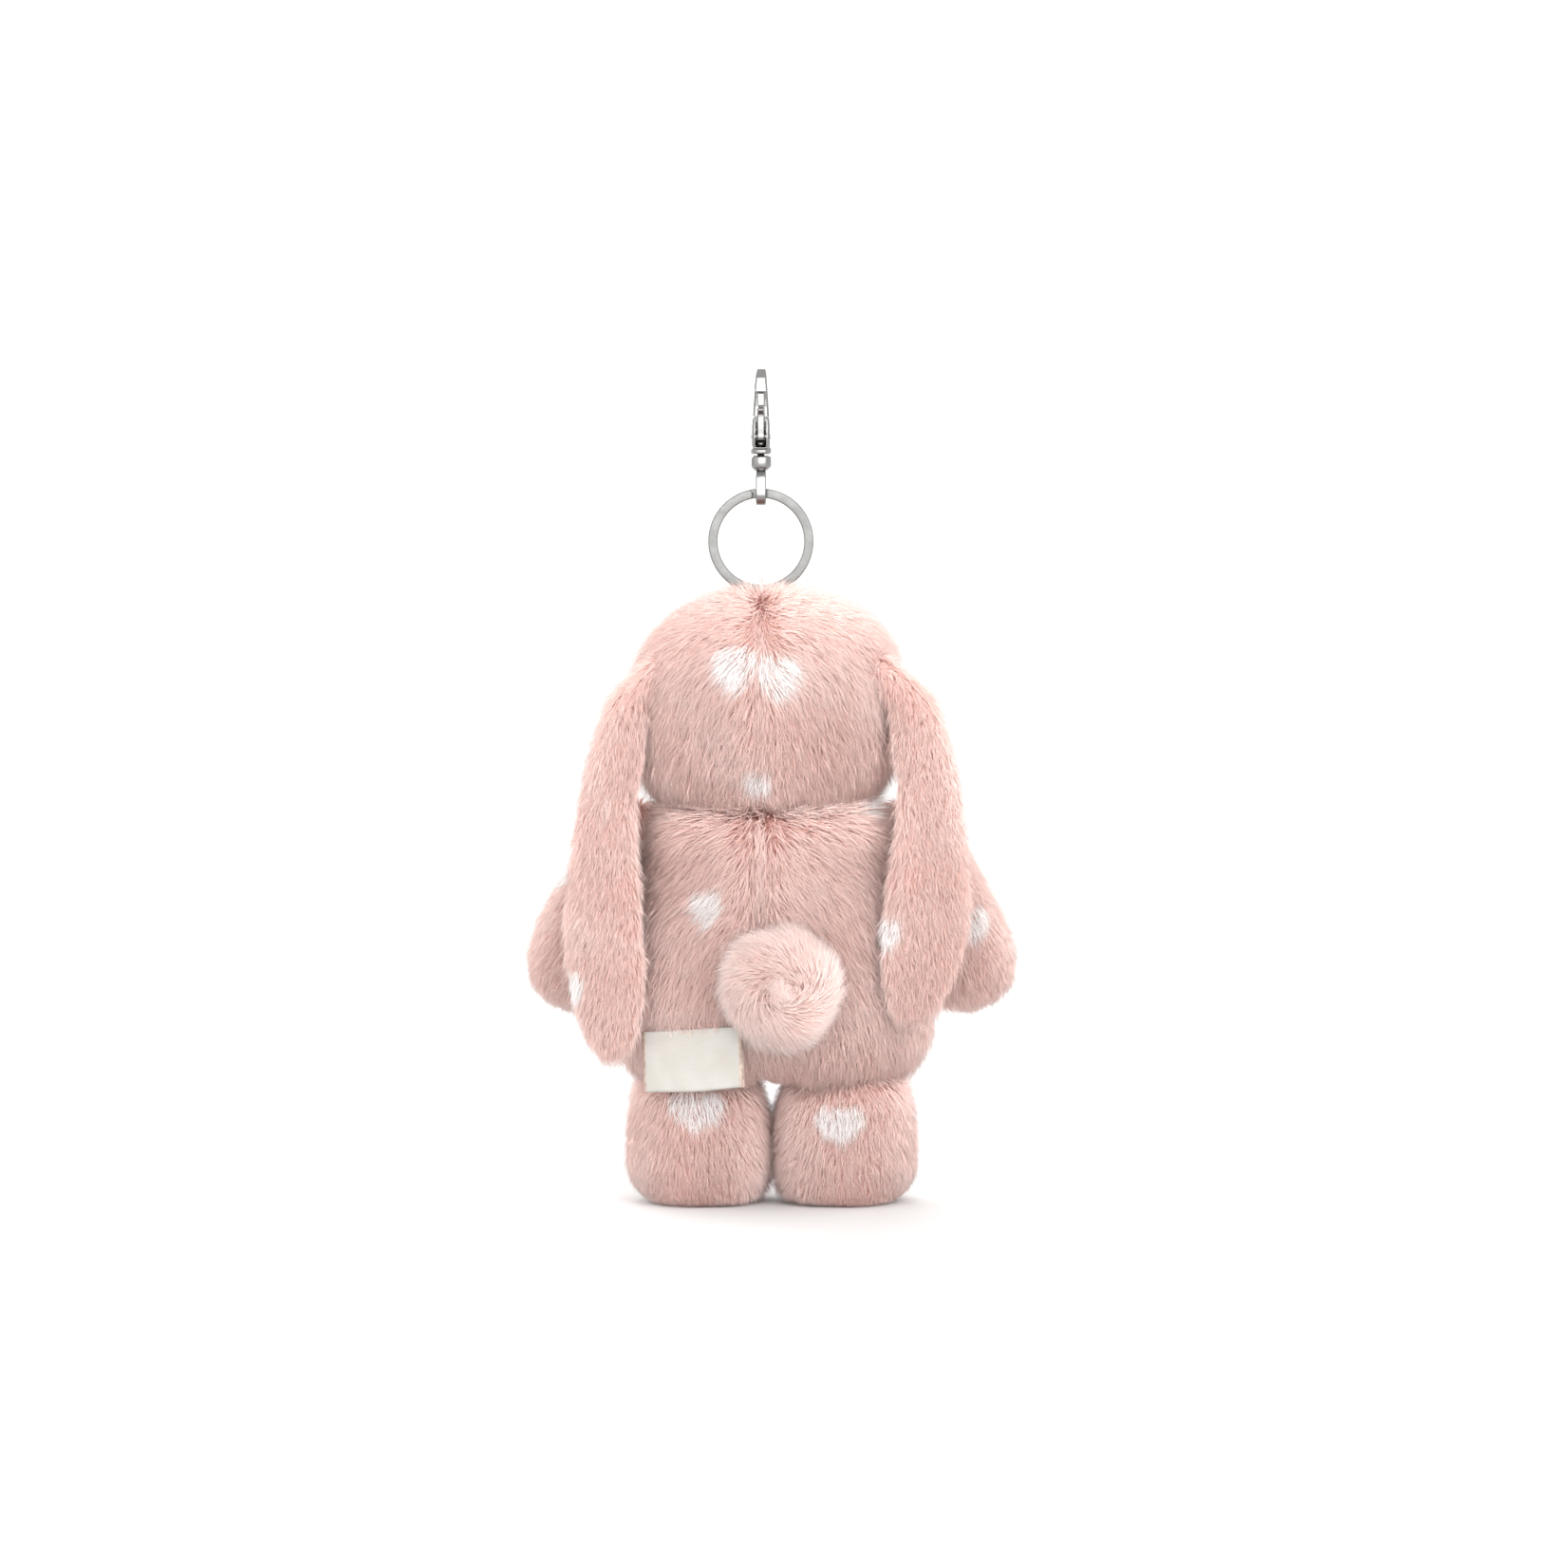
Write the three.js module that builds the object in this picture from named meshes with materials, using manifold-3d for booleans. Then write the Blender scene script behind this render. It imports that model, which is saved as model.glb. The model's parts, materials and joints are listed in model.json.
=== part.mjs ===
// A plush rabbit keychain. A stuffed rabbit of fur fabric, with lop ears, hangs by a cord loop from a
// split ring, and the ring from a swivel snap hook. Millimetres, +Z up, the face towards -Y, the
// rabbit's left towards +X. The origin is on the floor, under the middle of the whole toy.
import * as THREE from "three";
import { mergeVertices } from "three/addons/utils/BufferGeometryUtils.js";
import Module from "manifold-3d";

// ---- Driving dimensions --------------------------------------------------------------------------
const FABRIC = 2.4; // fur fabric, its backing and the pressed roots of its pile
const GAP = 0.3; // between two pieces that lie against each other
const SIDES = 18; // facets round a stuffed piece
const SEAM_X = 1; // the back seam lies a little left of the head's middle
const SIDE_SEAM_Y = -6; // where the back panels meet the face and the belly

// Each stuffed shape is a list of rings: height, half width, half depth, and the ring's middle in Y.
const HEAD = [
  [95.6, 12, 10, 0],
  [97.2, 19.5, 16.5, -0.5],
  [100.5, 25.5, 21.8, -1],
  [106, 28.4, 25, -1.5],
  [113, 29.4, 26.4, -1.5],
  [120, 29.6, 26.6, -1],
  [128, 28.6, 25.4, 0],
  [135.2, 26.2, 22.4, 0],
  [140.2, 21.2, 17.6, 0],
  [143.5, 13.8, 11, 0],
  [144.6, 5, 4.5, 0],
];
const BODY = [
  [31.4, 22, 13, 0],
  [33.2, 29.5, 17.5, 0],
  [37, 34, 20.6, 0],
  [43, 36.2, 22.2, 0],
  [50, 35.4, 22.6, 0],
  [60, 32.4, 21.8, 0],
  [70, 29.8, 20.6, 0],
  [80, 26.8, 19.2, 0],
  [88, 25.4, 18.2, 0],
  [93.2, 21.6, 15.8, 0],
  [94.9, 15, 12, 0],
];
const LEG = [
  [0, 9.8, 13.4, -5],
  [1.2, 12, 16, -5],
  [4, 14, 18.4, -5.2],
  [8.5, 14.9, 19, -5.2],
  [14, 15, 18.4, -4.6],
  [20, 14.6, 16.6, -3.2],
  [25.5, 13.6, 14.2, -1.6],
  [29.2, 12.4, 12.6, -1],
  [30.9, 10, 10.4, -1],
];
const BODY_X = -1.6; // the body sits a little right of the head's middle
const LEG_X = 17.8; // from the body's middle
const SOLE = 2.4; // thickness of the sole's disc

// The arm runs down from its shoulder, which is its own origin.
const ARM = [
  [-42.4, 4.6, 4.2, 0],
  [-39.6, 8.4, 7.4, 0],
  [-34, 10.5, 9.2, 0],
  [-26, 10.7, 9.4, 0],
  [-16, 9.6, 8.7, 0],
  [-6, 8.4, 8, 0],
  [2, 7.6, 7.4, 0],
  [5.8, 5.6, 5.6, 0],
  [7.4, 2.8, 2.8, 0],
];
const SHOULDER = { x: 34, y: -6.8, z: 88, out: 21.5, forward: 8 };

// An ear hangs from its seam on the head: share of its length, half width, half thickness, bow outwards.
const EAR = [
  [0.99, 2.8, 1.8, 6.2],
  [0.94, 5.8, 3, 7],
  [0.86, 8, 3.8, 8],
  [0.75, 9.2, 4.2, 9.3],
  [0.65, 9, 4.3, 10],
  [0.55, 7.8, 4.3, 9.8],
  [0.46, 6.9, 4.3, 9.7],
  [0.35, 5.9, 4.2, 9],
  [0.27, 5.8, 4.1, 7.4],
  [0.19, 5.2, 3.8, 5.8],
  [0.11, 4.2, 3.4, 3.5],
  [0.03, 3, 2.8, 0.7],
  [0, 2.2, 2, 0],
];
// The two ears differ a little, as sewn ears do. spin turns the ear's flat face towards the back.
const EARS = {
  left: { side: 1, x: 28.4, y: 12.4, z: 131, length: 94.5, spin: 32, out: 1, back: 6.6 },
  right: { side: -1, x: 30.6, y: 13, z: 131.5, length: 86, spin: 16, out: -1.6, back: 6 },
};

const EYE = { x: 12.5, z: 118, ball: 3, sunk: 0.5, turn: 24, shank: 1, shankLength: 7.5 };
const EYE_WASHER = { r: 3.4, halfThick: 0.45, depth: 4.5 };
const NOSE = { z: 110.5, halfWidth: 3.6, halfHeight: 2.3, halfDepth: 1.2 };
const THREAD = 0.9; // thickness of the embroidery thread
const NECK = { halfWidth: 18.4, halfDepth: 15.3, thread: 0.51 }; // the closing stitch

const TAIL = { x: -3.6, y: 30.2, z: 53.8, half: [10.8, 7, 10.8] };

const TAG = { x: 17, y: 20.3, z: 43, width: 25, height: 14.6, ply: 0.45, fold: 1.5 };
const TAG_SET = { turn: -22, lean: 9, roll: 5 }; // how it hangs, in degrees

// Ring, loop and hook hang above the back seam.
const HANG_X = SEAM_X;
const RING = { outer: 12.5, band: 2.2, strip: 0.85, pitch: 0.91, z: 157.9, split: 0.17, steps: 76 };
const WIRE_R = RING.outer - RING.band / 2; // the middle of the ring's flat wire
const LOOP = { inner: 1.8, cord: 0.85, bottom: 140 };
const HOOK_Z = 178.6; // underside of the hook's collar
const HOOK = { thick: 4.3, tipThick: 2.5, top: 20.5, collarR: 2.5, collar: 1.6, slot: 2.5, bore: 1.2 };
const GATE = { thick: 1.8, pivotY: 3.4, pivotZ: 4.2, pocket: 1.1 };
const PIN = { r: 0.5, hole: 0.8, length: 4.6 };
const SPRING = { r: 0.78, wire: 0.22, turns: 2, pitch: 0.3, leg: 2.4 };
const STEM = { r: 0.85, head: 1.45, headBottom: 2.1, headTop: 2.8, barrel: 2.45 };
const EYELET = { thick: 2.5, outer: 2.8, inner: 1.8, low: -9.35, high: -7 };

// ---- Colours -------------------------------------------------------------------------------------
const finish = (color, roughness, metalness = 0) =>
  new THREE.MeshStandardMaterial({ color, roughness, metalness });
const FUR = finish(0xe6bcb3, 0.95);
const PALE_FUR = finish(0xeed2cb, 0.95);
const LINING = finish(0xecc9c3, 0.95);
const FILLING = finish(0xf6f4f0, 1);
const STEEL = finish(0xc9c9c7, 0.28, 1);
const CORD = finish(0xb9a7a2, 0.85);
const LABEL = finish(0xece7dd, 0.9);
const BEAD = finish(0x14100f, 0.12);
const WASHER = finish(0xe9e9e4, 0.5);
const FLOSS = finish(0xc98f8c, 0.7);

// ---- Tools ---------------------------------------------------------------------------------------
const wasm = await Module();
wasm.setup();
const deg = THREE.MathUtils.degToRad;
const model = new THREE.Group();

// A closed geometry as a solid that can be joined and cut.
function solid(geometry) {
  const bare = geometry.index ? geometry.toNonIndexed() : geometry.clone();
  bare.deleteAttribute("normal");
  bare.deleteAttribute("uv");
  const merged = mergeVertices(bare, 1e-4);
  const mesh = new wasm.Mesh({
    numProp: 3,
    vertProperties: merged.attributes.position.array,
    triVerts: new Uint32Array(merged.index.array),
  });
  return new wasm.Manifold(mesh);
}

function geometryOf(made) {
  const mesh = made.getMesh();
  return new THREE.BufferGeometry()
    .setAttribute("position", new THREE.BufferAttribute(mesh.vertProperties, 3))
    .setIndex(new THREE.BufferAttribute(mesh.triVerts, 1));
}

// Adds a piece to a group. The shape is a geometry or a solid.
function piece(name, shape, material, group = model) {
  const geometry = shape.isBufferGeometry ? shape : geometryOf(shape);
  const mesh = new THREE.Mesh(geometry, material);
  mesh.name = name;
  group.add(mesh);
  return mesh;
}

// A box from its lowest to its highest corner, as a solid.
function block(low, high) {
  const size = high.map((value, axis) => value - low[axis]);
  const middle = high.map((value, axis) => (value + low[axis]) / 2);
  return solid(new THREE.BoxGeometry(...size).translate(...middle));
}

// The half space on one side of a plane across an axis, as a box far larger than the toy.
const FAR = 400;
function half(axis, from, sign) {
  const low = [-FAR, -FAR, -FAR];
  const high = [FAR, FAR, FAR];
  (sign > 0 ? low : high)[axis] = from;
  return block(low, high);
}

// A stuffed shape: a lathe of the rings' half widths, each ring then flattened and moved to its middle.
function stuffed(rings, shiftX = 0, sides = SIDES) {
  const ends = [[rings[0][0], 0, 0, rings[0][3]], ...rings, [rings.at(-1)[0], 0, 0, rings.at(-1)[3]]];
  const profile = ends.map(([z, width]) => new THREE.Vector2(width, z));
  const lathe = new THREE.LatheGeometry(profile, sides);
  const at = lathe.attributes.position;
  for (let i = 0; i < at.count; i++) {
    const [z, width, depth, middle] = ends[i % ends.length];
    const turn = (2 * Math.PI * Math.floor(i / ends.length)) / sides;
    at.setXYZ(i, shiftX + width * Math.sin(turn), middle - depth * Math.cos(turn), z);
  }
  return lathe;
}

// The same rings drawn in by a margin on every side.
function drawnIn(rings, margin) {
  const low = rings[0][0];
  const high = rings.at(-1)[0];
  const middle = (low + high) / 2;
  const share = (high - low - 2 * margin) / (high - low);
  return rings.map(([z, width, depth, y]) => [
    middle + (z - middle) * share,
    Math.max(width - margin, 0.8),
    Math.max(depth - margin, 0.8),
    y,
  ]);
}

const skin = (rings, x = 0) =>
  solid(stuffed(rings, x)).subtract(solid(stuffed(drawnIn(rings, FABRIC), x)));
const filling = (rings, x = 0) => solid(stuffed(drawnIn(rings, FABRIC + GAP), x));

// A flat outline in the YZ plane, given thickness along X and rounded along its edges.
function plate(outline, thick, bevel, holes = []) {
  outline.holes = holes;
  const depth = thick - 2 * bevel;
  const extruded = new THREE.ExtrudeGeometry(outline, {
    depth,
    bevelThickness: bevel,
    bevelSize: bevel,
    bevelOffset: -bevel,
    bevelSegments: 1,
    curveSegments: 5,
  });
  // Drawn in (Y, Z) and extruded along X.
  const turned = new THREE.Matrix4().set(0, 0, 1, -depth / 2, 1, 0, 0, 0, 0, 1, 0, 0, 0, 0, 0, 1);
  return extruded.applyMatrix4(turned);
}

// A round bar along X through a point of the hook's plane.
const barX = (r, length, y, z, sides = 14) =>
  solid(new THREE.CylinderGeometry(r, r, length, sides).rotateZ(Math.PI / 2).translate(0, y, z));

// A turned piece round the Z axis from its (radius, height) profile.
const turnedZ = (profile, sides = 14) =>
  solid(
    new THREE.LatheGeometry(
      profile.map(([r, z]) => new THREE.Vector2(r, z)),
      sides,
    ).rotateX(Math.PI / 2),
  );

// A thread or cord of round section along a curve.
function strand(curve, thick, steps, sides = 6) {
  const section = new THREE.Shape();
  for (let i = 0; i < sides; i++) {
    const turn = (2 * Math.PI * i) / sides;
    const point = [(thick / 2) * Math.cos(turn), (thick / 2) * Math.sin(turn)];
    if (i) section.lineTo(...point);
    else section.moveTo(...point);
  }
  return new THREE.ExtrudeGeometry(section, { steps, extrudePath: curve });
}

// ---- Head ----------------------------------------------------------------------------------------
// Where the front of a stuffed shape is in Y, at a place on its face.
function frontY(rings, x, z) {
  const above = rings.findIndex((ring) => ring[0] > z);
  const [low, high] = [rings[above - 1], rings[above]];
  const share = (z - low[0]) / (high[0] - low[0]);
  const [, width, depth, middle] = low.map((value, i) => value + share * (high[i] - value));
  return middle - depth * Math.sqrt(1 - (x / width) ** 2);
}

const eyeY = frontY(HEAD, EYE.x, EYE.z) - EYE.sunk;

// The bead, with its shank through the fabric towards the back.
function eyeBead(side, grow = 0) {
  const profile = [
    [0, -EYE.shankLength],
    [EYE.shank + grow, -EYE.shankLength],
    [EYE.shank + grow, -grow],
    [EYE.ball + grow, -grow],
    [EYE.ball * 0.92 + grow, EYE.ball * 0.42],
    [EYE.ball * 0.6 + grow, EYE.ball * 0.75],
    [0, EYE.ball * 0.88 + grow],
  ];
  const lathe = new THREE.LatheGeometry(
    profile.map(([r, z]) => new THREE.Vector2(r, z)),
    12,
  );
  // The lathe's axis is Y: the bead's dome points to -Y, turned outwards with the cheek.
  return lathe
    .rotateX(Math.PI)
    .rotateZ(side * deg(EYE.turn))
    .translate(side * EYE.x, eyeY, EYE.z);
}

// The lock washer that holds a shank from inside the head.
function washer(side, grow = 0) {
  const inner = EYE.shank + GAP - grow;
  const outer = EYE_WASHER.r + grow;
  const thick = EYE_WASHER.halfThick + grow;
  const profile = [
    [inner, -thick],
    [outer, -thick],
    [outer, thick],
    [inner, thick],
    [inner, -thick],
  ];
  return new THREE.LatheGeometry(
    profile.map(([r, z]) => new THREE.Vector2(r, z)),
    12,
  )
    .translate(0, -EYE_WASHER.depth, 0)
    .rotateX(Math.PI)
    .rotateZ(side * deg(EYE.turn))
    .translate(side * EYE.x, eyeY, EYE.z);
}

function nosePad(grow = 0) {
  const half3 = [NOSE.halfWidth + grow, NOSE.halfDepth + grow, NOSE.halfHeight + grow];
  const y = frontY(HEAD, 0, NOSE.z);
  return new THREE.SphereGeometry(1, 12, 8)
    .rotateX(Math.PI / 2)
    .scale(...half3)
    .translate(0, y - 0.3, NOSE.z);
}

function mouth() {
  const points = [
    [-4.6, 105.4],
    [-2.6, 104.2],
    [-0.8, 105.2],
    [0, 107.2],
    [0.8, 105.2],
    [2.6, 104.2],
    [4.6, 105.4],
  ].map(([x, z]) => new THREE.Vector3(x, frontY(HEAD, x, z) - THREAD, z));
  return strand(new THREE.CatmullRomCurve3(points), THREAD, 16);
}

// The slot that the cord loop is sewn into, between the two back panels.
const loopSlot = block(
  [HANG_X - LOOP.cord / 2 - GAP, -LOOP.inner - LOOP.cord - GAP, LOOP.bottom - 3.4],
  [HANG_X + LOOP.cord / 2 + GAP, LOOP.inner + LOOP.cord + GAP, HEAD.at(-1)[0] + 1],
);
const left = half(0, SEAM_X + GAP / 2, 1);
const right = half(0, SEAM_X - GAP / 2, -1);
const front = half(1, SIDE_SEAM_Y - GAP / 2, -1);
const back = half(1, SIDE_SEAM_Y + GAP / 2, 1);

const headSkin = skin(HEAD).subtract(loopSlot);
piece("head_back_left", headSkin.intersect(back).intersect(left), FUR);
piece("head_back_right", headSkin.intersect(back).intersect(right), FUR);
let face = headSkin.intersect(front).subtract(solid(nosePad(GAP)));
let headFill = filling(HEAD).subtract(loopSlot).subtract(solid(nosePad(GAP)));
for (const side of [1, -1]) {
  face = face.subtract(solid(eyeBead(side, GAP)));
  headFill = headFill.subtract(solid(eyeBead(side, GAP + 0.2)));
  headFill = headFill.subtract(solid(washer(side, GAP)));
}
piece("face_panel", face, FUR);
piece("head_stuffing", headFill, FILLING);
for (const [name, side] of [["left", 1], ["right", -1]]) {
  piece(`eye_${name}`, eyeBead(side), BEAD);
  piece(`eye_washer_${name}`, washer(side), WASHER);
}
piece("nose_stitching", nosePad(), FLOSS);
piece("mouth_stitching", mouth(), FLOSS);

// ---- Body ----------------------------------------------------------------------------------------
const bodySkin = skin(BODY, BODY_X);
piece("body_back_left", bodySkin.intersect(back).intersect(left), FUR);
piece("body_back_right", bodySkin.intersect(back).intersect(right), FUR);
piece("belly_panel", bodySkin.intersect(front), FUR);
piece("body_stuffing", filling(BODY, BODY_X), FILLING);

// The ladder stitch that closes the neck: a thread ring in the groove between head and body.
const neckThread = new THREE.TorusGeometry(1, NECK.thread / NECK.halfDepth, 6, 28)
  .scale(NECK.halfWidth, NECK.halfDepth, NECK.halfDepth)
  .translate(0, 0, (HEAD[0][0] + BODY.at(-1)[0]) / 2);
piece("neck_thread", neckThread, FLOSS);

const tail = new THREE.SphereGeometry(1, 16, 10)
  .rotateX(Math.PI / 2)
  .scale(...TAIL.half)
  .translate(TAIL.x, TAIL.y, TAIL.z);
piece("tail_pompom", tail, PALE_FUR);

// The label: a strip folded at its lower edge, with both ends sewn into the seam above.
function foldedLabel() {
  const { height, ply, fold } = TAG;
  const out = fold / 2;
  const outline = new THREE.Shape();
  outline.moveTo(-out, 0);
  outline.lineTo(-out, -height + out);
  outline.absarc(0, -height + out, out, Math.PI, 2 * Math.PI, false);
  outline.lineTo(out, 0);
  outline.lineTo(out - ply, 0);
  outline.lineTo(out - ply, -height + out);
  outline.absarc(0, -height + out, out - ply, 2 * Math.PI, Math.PI, true);
  outline.lineTo(-out + ply, 0);
  return plate(outline, TAG.width, 0.05);
}
const tag = piece("fabric_tag", foldedLabel(), LABEL);
tag.position.set(TAG.x, TAG.y, TAG.z);
tag.rotation.set(deg(TAG_SET.lean), deg(TAG_SET.roll), deg(TAG_SET.turn), "ZXY");

// ---- Legs and arms -------------------------------------------------------------------------------
for (const [name, side] of [["left", 1], ["right", -1]]) {
  const x = BODY_X + side * LEG_X;
  const aboveSole = half(2, SOLE + GAP, 1);
  piece(`leg_${name}_upper`, skin(LEG, x).intersect(aboveSole), FUR);
  piece(`leg_${name}_sole`, solid(stuffed(LEG, x)).intersect(half(2, SOLE, -1)), FUR);
  piece(`leg_${name}_stuffing`, filling(LEG, x).intersect(half(2, SOLE + 2 * GAP, 1)), FILLING);

  const arm = new THREE.Group();
  arm.position.set(BODY_X + side * SHOULDER.x, SHOULDER.y, SHOULDER.z);
  arm.rotation.set(deg(-SHOULDER.forward), deg(-side * SHOULDER.out), 0);
  model.add(arm);
  piece(`arm_${name}_back`, skin(ARM).intersect(half(1, GAP / 2, 1)), FUR, arm);
  piece(`arm_${name}_front`, skin(ARM).intersect(half(1, -GAP / 2, -1)), FUR, arm);
  piece(`arm_${name}_stuffing`, filling(ARM), FILLING, arm);
}

// ---- Ears ----------------------------------------------------------------------------------------
for (const [name, ear] of Object.entries(EARS)) {
  const rings = EAR.map(([share, width, depth]) => [-share * ear.length, width, depth, 0]);
  const shape = stuffed(rings);
  const at = shape.attributes.position;
  const perColumn = rings.length + 2;
  for (let i = 0; i < at.count; i++) {
    const ring = Math.min(Math.max((i % perColumn) - 1, 0), rings.length - 1);
    at.setX(i, at.getX(i) + ear.side * EAR[ring][3]);
  }
  const whole = solid(shape);
  const group = new THREE.Group();
  group.position.set(ear.side * ear.x, ear.y, ear.z);
  group.rotation.set(deg(ear.back), deg(-ear.side * ear.out), deg(-ear.side * ear.spin));
  model.add(group);
  piece(`ear_${name}_outer`, whole.intersect(half(1, GAP / 2, 1)), FUR, group);
  piece(`ear_${name}_inner`, whole.intersect(half(1, -GAP / 2, -1)), LINING, group);
}

// ---- Cord loop and split ring --------------------------------------------------------------------
// A closed cord in the YZ plane: round the ring's wire at the top, in the head seam at the bottom.
function cordLoop() {
  const r = LOOP.inner + LOOP.cord / 2;
  const profile = new THREE.TorusGeometry(r, LOOP.cord / 2, 6, 16);
  // The torus lies in XY. Its upper half is lifted to the ring's wire and its plane turned to YZ.
  const at = profile.attributes.position;
  for (let i = 0; i < at.count; i++) {
    const lift = at.getY(i) > 1e-6 ? RING.z - WIRE_R : LOOP.bottom;
    at.setXYZ(i, HANG_X + at.getZ(i), at.getX(i), at.getY(i) + lift);
  }
  return profile;
}
piece("hang_loop", cordLoop(), CORD);

// A flat steel strip wound into two turns. It steps from one layer to the next at the split, between
// its own two ends.
function splitRing() {
  const total = 4 * Math.PI - 2 * RING.split;
  const strip = new THREE.BoxGeometry(total, RING.band, RING.strip, RING.steps, 1, 1);
  const at = strip.attributes.position;
  for (let i = 0; i < at.count; i++) {
    const turn = at.getX(i); // 0 is the middle of the strip, in the step
    const step = THREE.MathUtils.clamp(turn / RING.split, -1, 1);
    const radius = WIRE_R + at.getY(i);
    const y = at.getZ(i) + (step * RING.pitch) / 2;
    at.setXYZ(i, HANG_X - radius * Math.sin(turn), y, RING.z + radius * Math.cos(turn));
  }
  return strip;
}
piece("split_ring", splitRing(), STEEL);

// ---- Snap hook -----------------------------------------------------------------------------------
const hook = new THREE.Group();
hook.position.set(HANG_X, 0, HOOK_Z);
model.add(hook);

// The cast body is thinner towards its tip.
function taper(geometry) {
  const at = geometry.attributes.position;
  for (let i = 0; i < at.count; i++) {
    const share = THREE.MathUtils.clamp((at.getZ(i) - 6) / (HOOK.top - 6), 0, 1);
    at.setX(i, at.getX(i) * THREE.MathUtils.lerp(1, HOOK.tipThick / HOOK.thick, share));
  }
  return geometry;
}

function hookBody() {
  const outline = new THREE.Shape();
  outline.moveTo(-3.4, 1.2);
  outline.bezierCurveTo(-5.6, 3.6, -6.4, 8, -5.9, 12);
  outline.bezierCurveTo(-5.4, 17.4, -2, HOOK.top, 1, HOOK.top);
  outline.bezierCurveTo(4, HOOK.top, 5.4, 17.8, 5.3, 14.7);
  outline.lineTo(3.2, 14.7);
  outline.bezierCurveTo(3.2, 16.6, 2.4, 17.6, 0.8, 17.6);
  outline.bezierCurveTo(-1.6, 17.5, -3.3, 14.6, -3.5, 11);
  outline.bezierCurveTo(-3.6, 7.6, -2, 5.4, 1.9, 5.3);
  outline.lineTo(2.3, 8.4);
  outline.bezierCurveTo(2.8, 9.3, 4.6, 9.3, 4.9, 8.4);
  outline.bezierCurveTo(5.6, 5.6, 5.2, 3, 4.4, 1.2);
  const collar = turnedZ([
    [0, 0],
    [HOOK.collarR - 0.3, 0],
    [HOOK.collarR, 0.3],
    [HOOK.collarR, HOOK.collar - 0.3],
    [HOOK.collarR - 0.3, HOOK.collar],
    [0, HOOK.collar],
  ]);
  const slot = block([-HOOK.slot / 2, -1.2, HOOK.collar], [HOOK.slot / 2, 12, 12]);
  const stemRoom = turnedZ([
    [0, -1],
    [HOOK.bore, -1],
    [HOOK.bore, HOOK.collar],
    [STEM.head + GAP, HOOK.collar],
    [STEM.head + GAP, STEM.headTop + GAP],
    [0, STEM.headTop + GAP],
  ]);
  return solid(taper(plate(outline, HOOK.thick, 0.55)))
    .add(collar)
    .subtract(slot)
    .subtract(stemRoom)
    .subtract(barX(PIN.hole, 12, GATE.pivotY, GATE.pivotZ));
}
piece("snap_hook_body", hookBody(), STEEL, hook);

// The gate: a folded lever with a thumb tab, hollow round the pin for its spring.
function gateLever() {
  const outline = new THREE.Shape();
  outline.moveTo(3.25, 14.3);
  outline.bezierCurveTo(3.2, 11, 3, 8, 2.5, 5.6);
  outline.absarc(GATE.pivotY, GATE.pivotZ, 1.35, Math.PI * 0.85, Math.PI * 2.1, false);
  outline.bezierCurveTo(5, 7, 5, 8.4, 5.2, 9.5);
  outline.bezierCurveTo(6, 9.4, 7, 9.8, 7.3, 10.5);
  outline.bezierCurveTo(6.8, 11.3, 5.8, 11.2, 5.2, 11.5);
  outline.lineTo(5.2, 14.3);
  const pocket = block([-GATE.pocket / 2, -4, 0], [GATE.pocket / 2, 4.35, 7]);
  return solid(plate(outline, GATE.thick, 0.25))
    .subtract(pocket)
    .subtract(barX(PIN.hole, 6, GATE.pivotY, GATE.pivotZ));
}
piece("gate_lever", gateLever(), STEEL, hook);
piece("gate_pin", barX(PIN.r, PIN.length, GATE.pivotY, GATE.pivotZ), STEEL, hook);

// A torsion spring round the pin. One leg rests on the body, the other pushes the gate shut.
class SpringCurve extends THREE.Curve {
  getPoint(share, target = new THREE.Vector3()) {
    const arc = 2 * Math.PI * SPRING.r * SPRING.turns;
    const along = share * (arc + SPRING.leg) - SPRING.leg;
    const turn = Math.max(along, 0) / SPRING.r;
    const run = Math.min(along, 0);
    const x = (Math.min(Math.max(along, 0) / arc, 1) - 0.5) * SPRING.turns * SPRING.pitch;
    const y = GATE.pivotY - SPRING.r * Math.cos(turn);
    const z = GATE.pivotZ + SPRING.r * Math.sin(turn) + run * 0.55;
    return target.set(x, y + run * 0.3, z);
  }
}
piece("gate_spring", strand(new SpringCurve(), SPRING.wire, 34, 5), STEEL, hook);

// The swivel eye: a headed stem in the collar, a barrel under it and the eye that takes the ring.
function swivelEye() {
  const stem = turnedZ([
    [0, -3.6],
    [1.6, -3.6],
    [STEM.barrel, -2.9],
    [STEM.barrel, -0.8],
    [STEM.barrel - 0.4, -0.4],
    [STEM.r, -0.4],
    [STEM.r, STEM.headBottom],
    [STEM.head, STEM.headBottom],
    [STEM.head, STEM.headTop],
    [0, STEM.headTop],
  ]);
  const { outer, inner, low, high } = EYELET;
  const outline = new THREE.Shape();
  outline.moveTo(-1.7, -3);
  outline.bezierCurveTo(-2.3, -4.4, -outer, -6, -outer, low);
  outline.absarc(0, low, outer, Math.PI, 2 * Math.PI, false);
  outline.bezierCurveTo(outer, -6, 2.3, -4.4, 1.7, -3);
  const hole = new THREE.Path();
  hole.moveTo(inner, low);
  hole.lineTo(inner, high);
  hole.absarc(0, high, inner, 0, Math.PI, false);
  hole.lineTo(-inner, low);
  hole.absarc(0, low, inner, Math.PI, 2 * Math.PI, false);
  return solid(plate(outline, EYELET.thick, 0.22, [hole])).add(stem);
}
piece("swivel_eye", swivelEye(), STEEL, hook);

// The origin goes under the middle of the whole toy.
const bounds = new THREE.Box3().setFromObject(model, true);
const middle = bounds.getCenter(new THREE.Vector3());
model.position.set(-middle.x, -middle.y, 0);

export default model;
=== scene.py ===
"""A plush rabbit keychain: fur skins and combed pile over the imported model, with its snap hook and ring."""

import itertools
import json
import math

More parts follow.
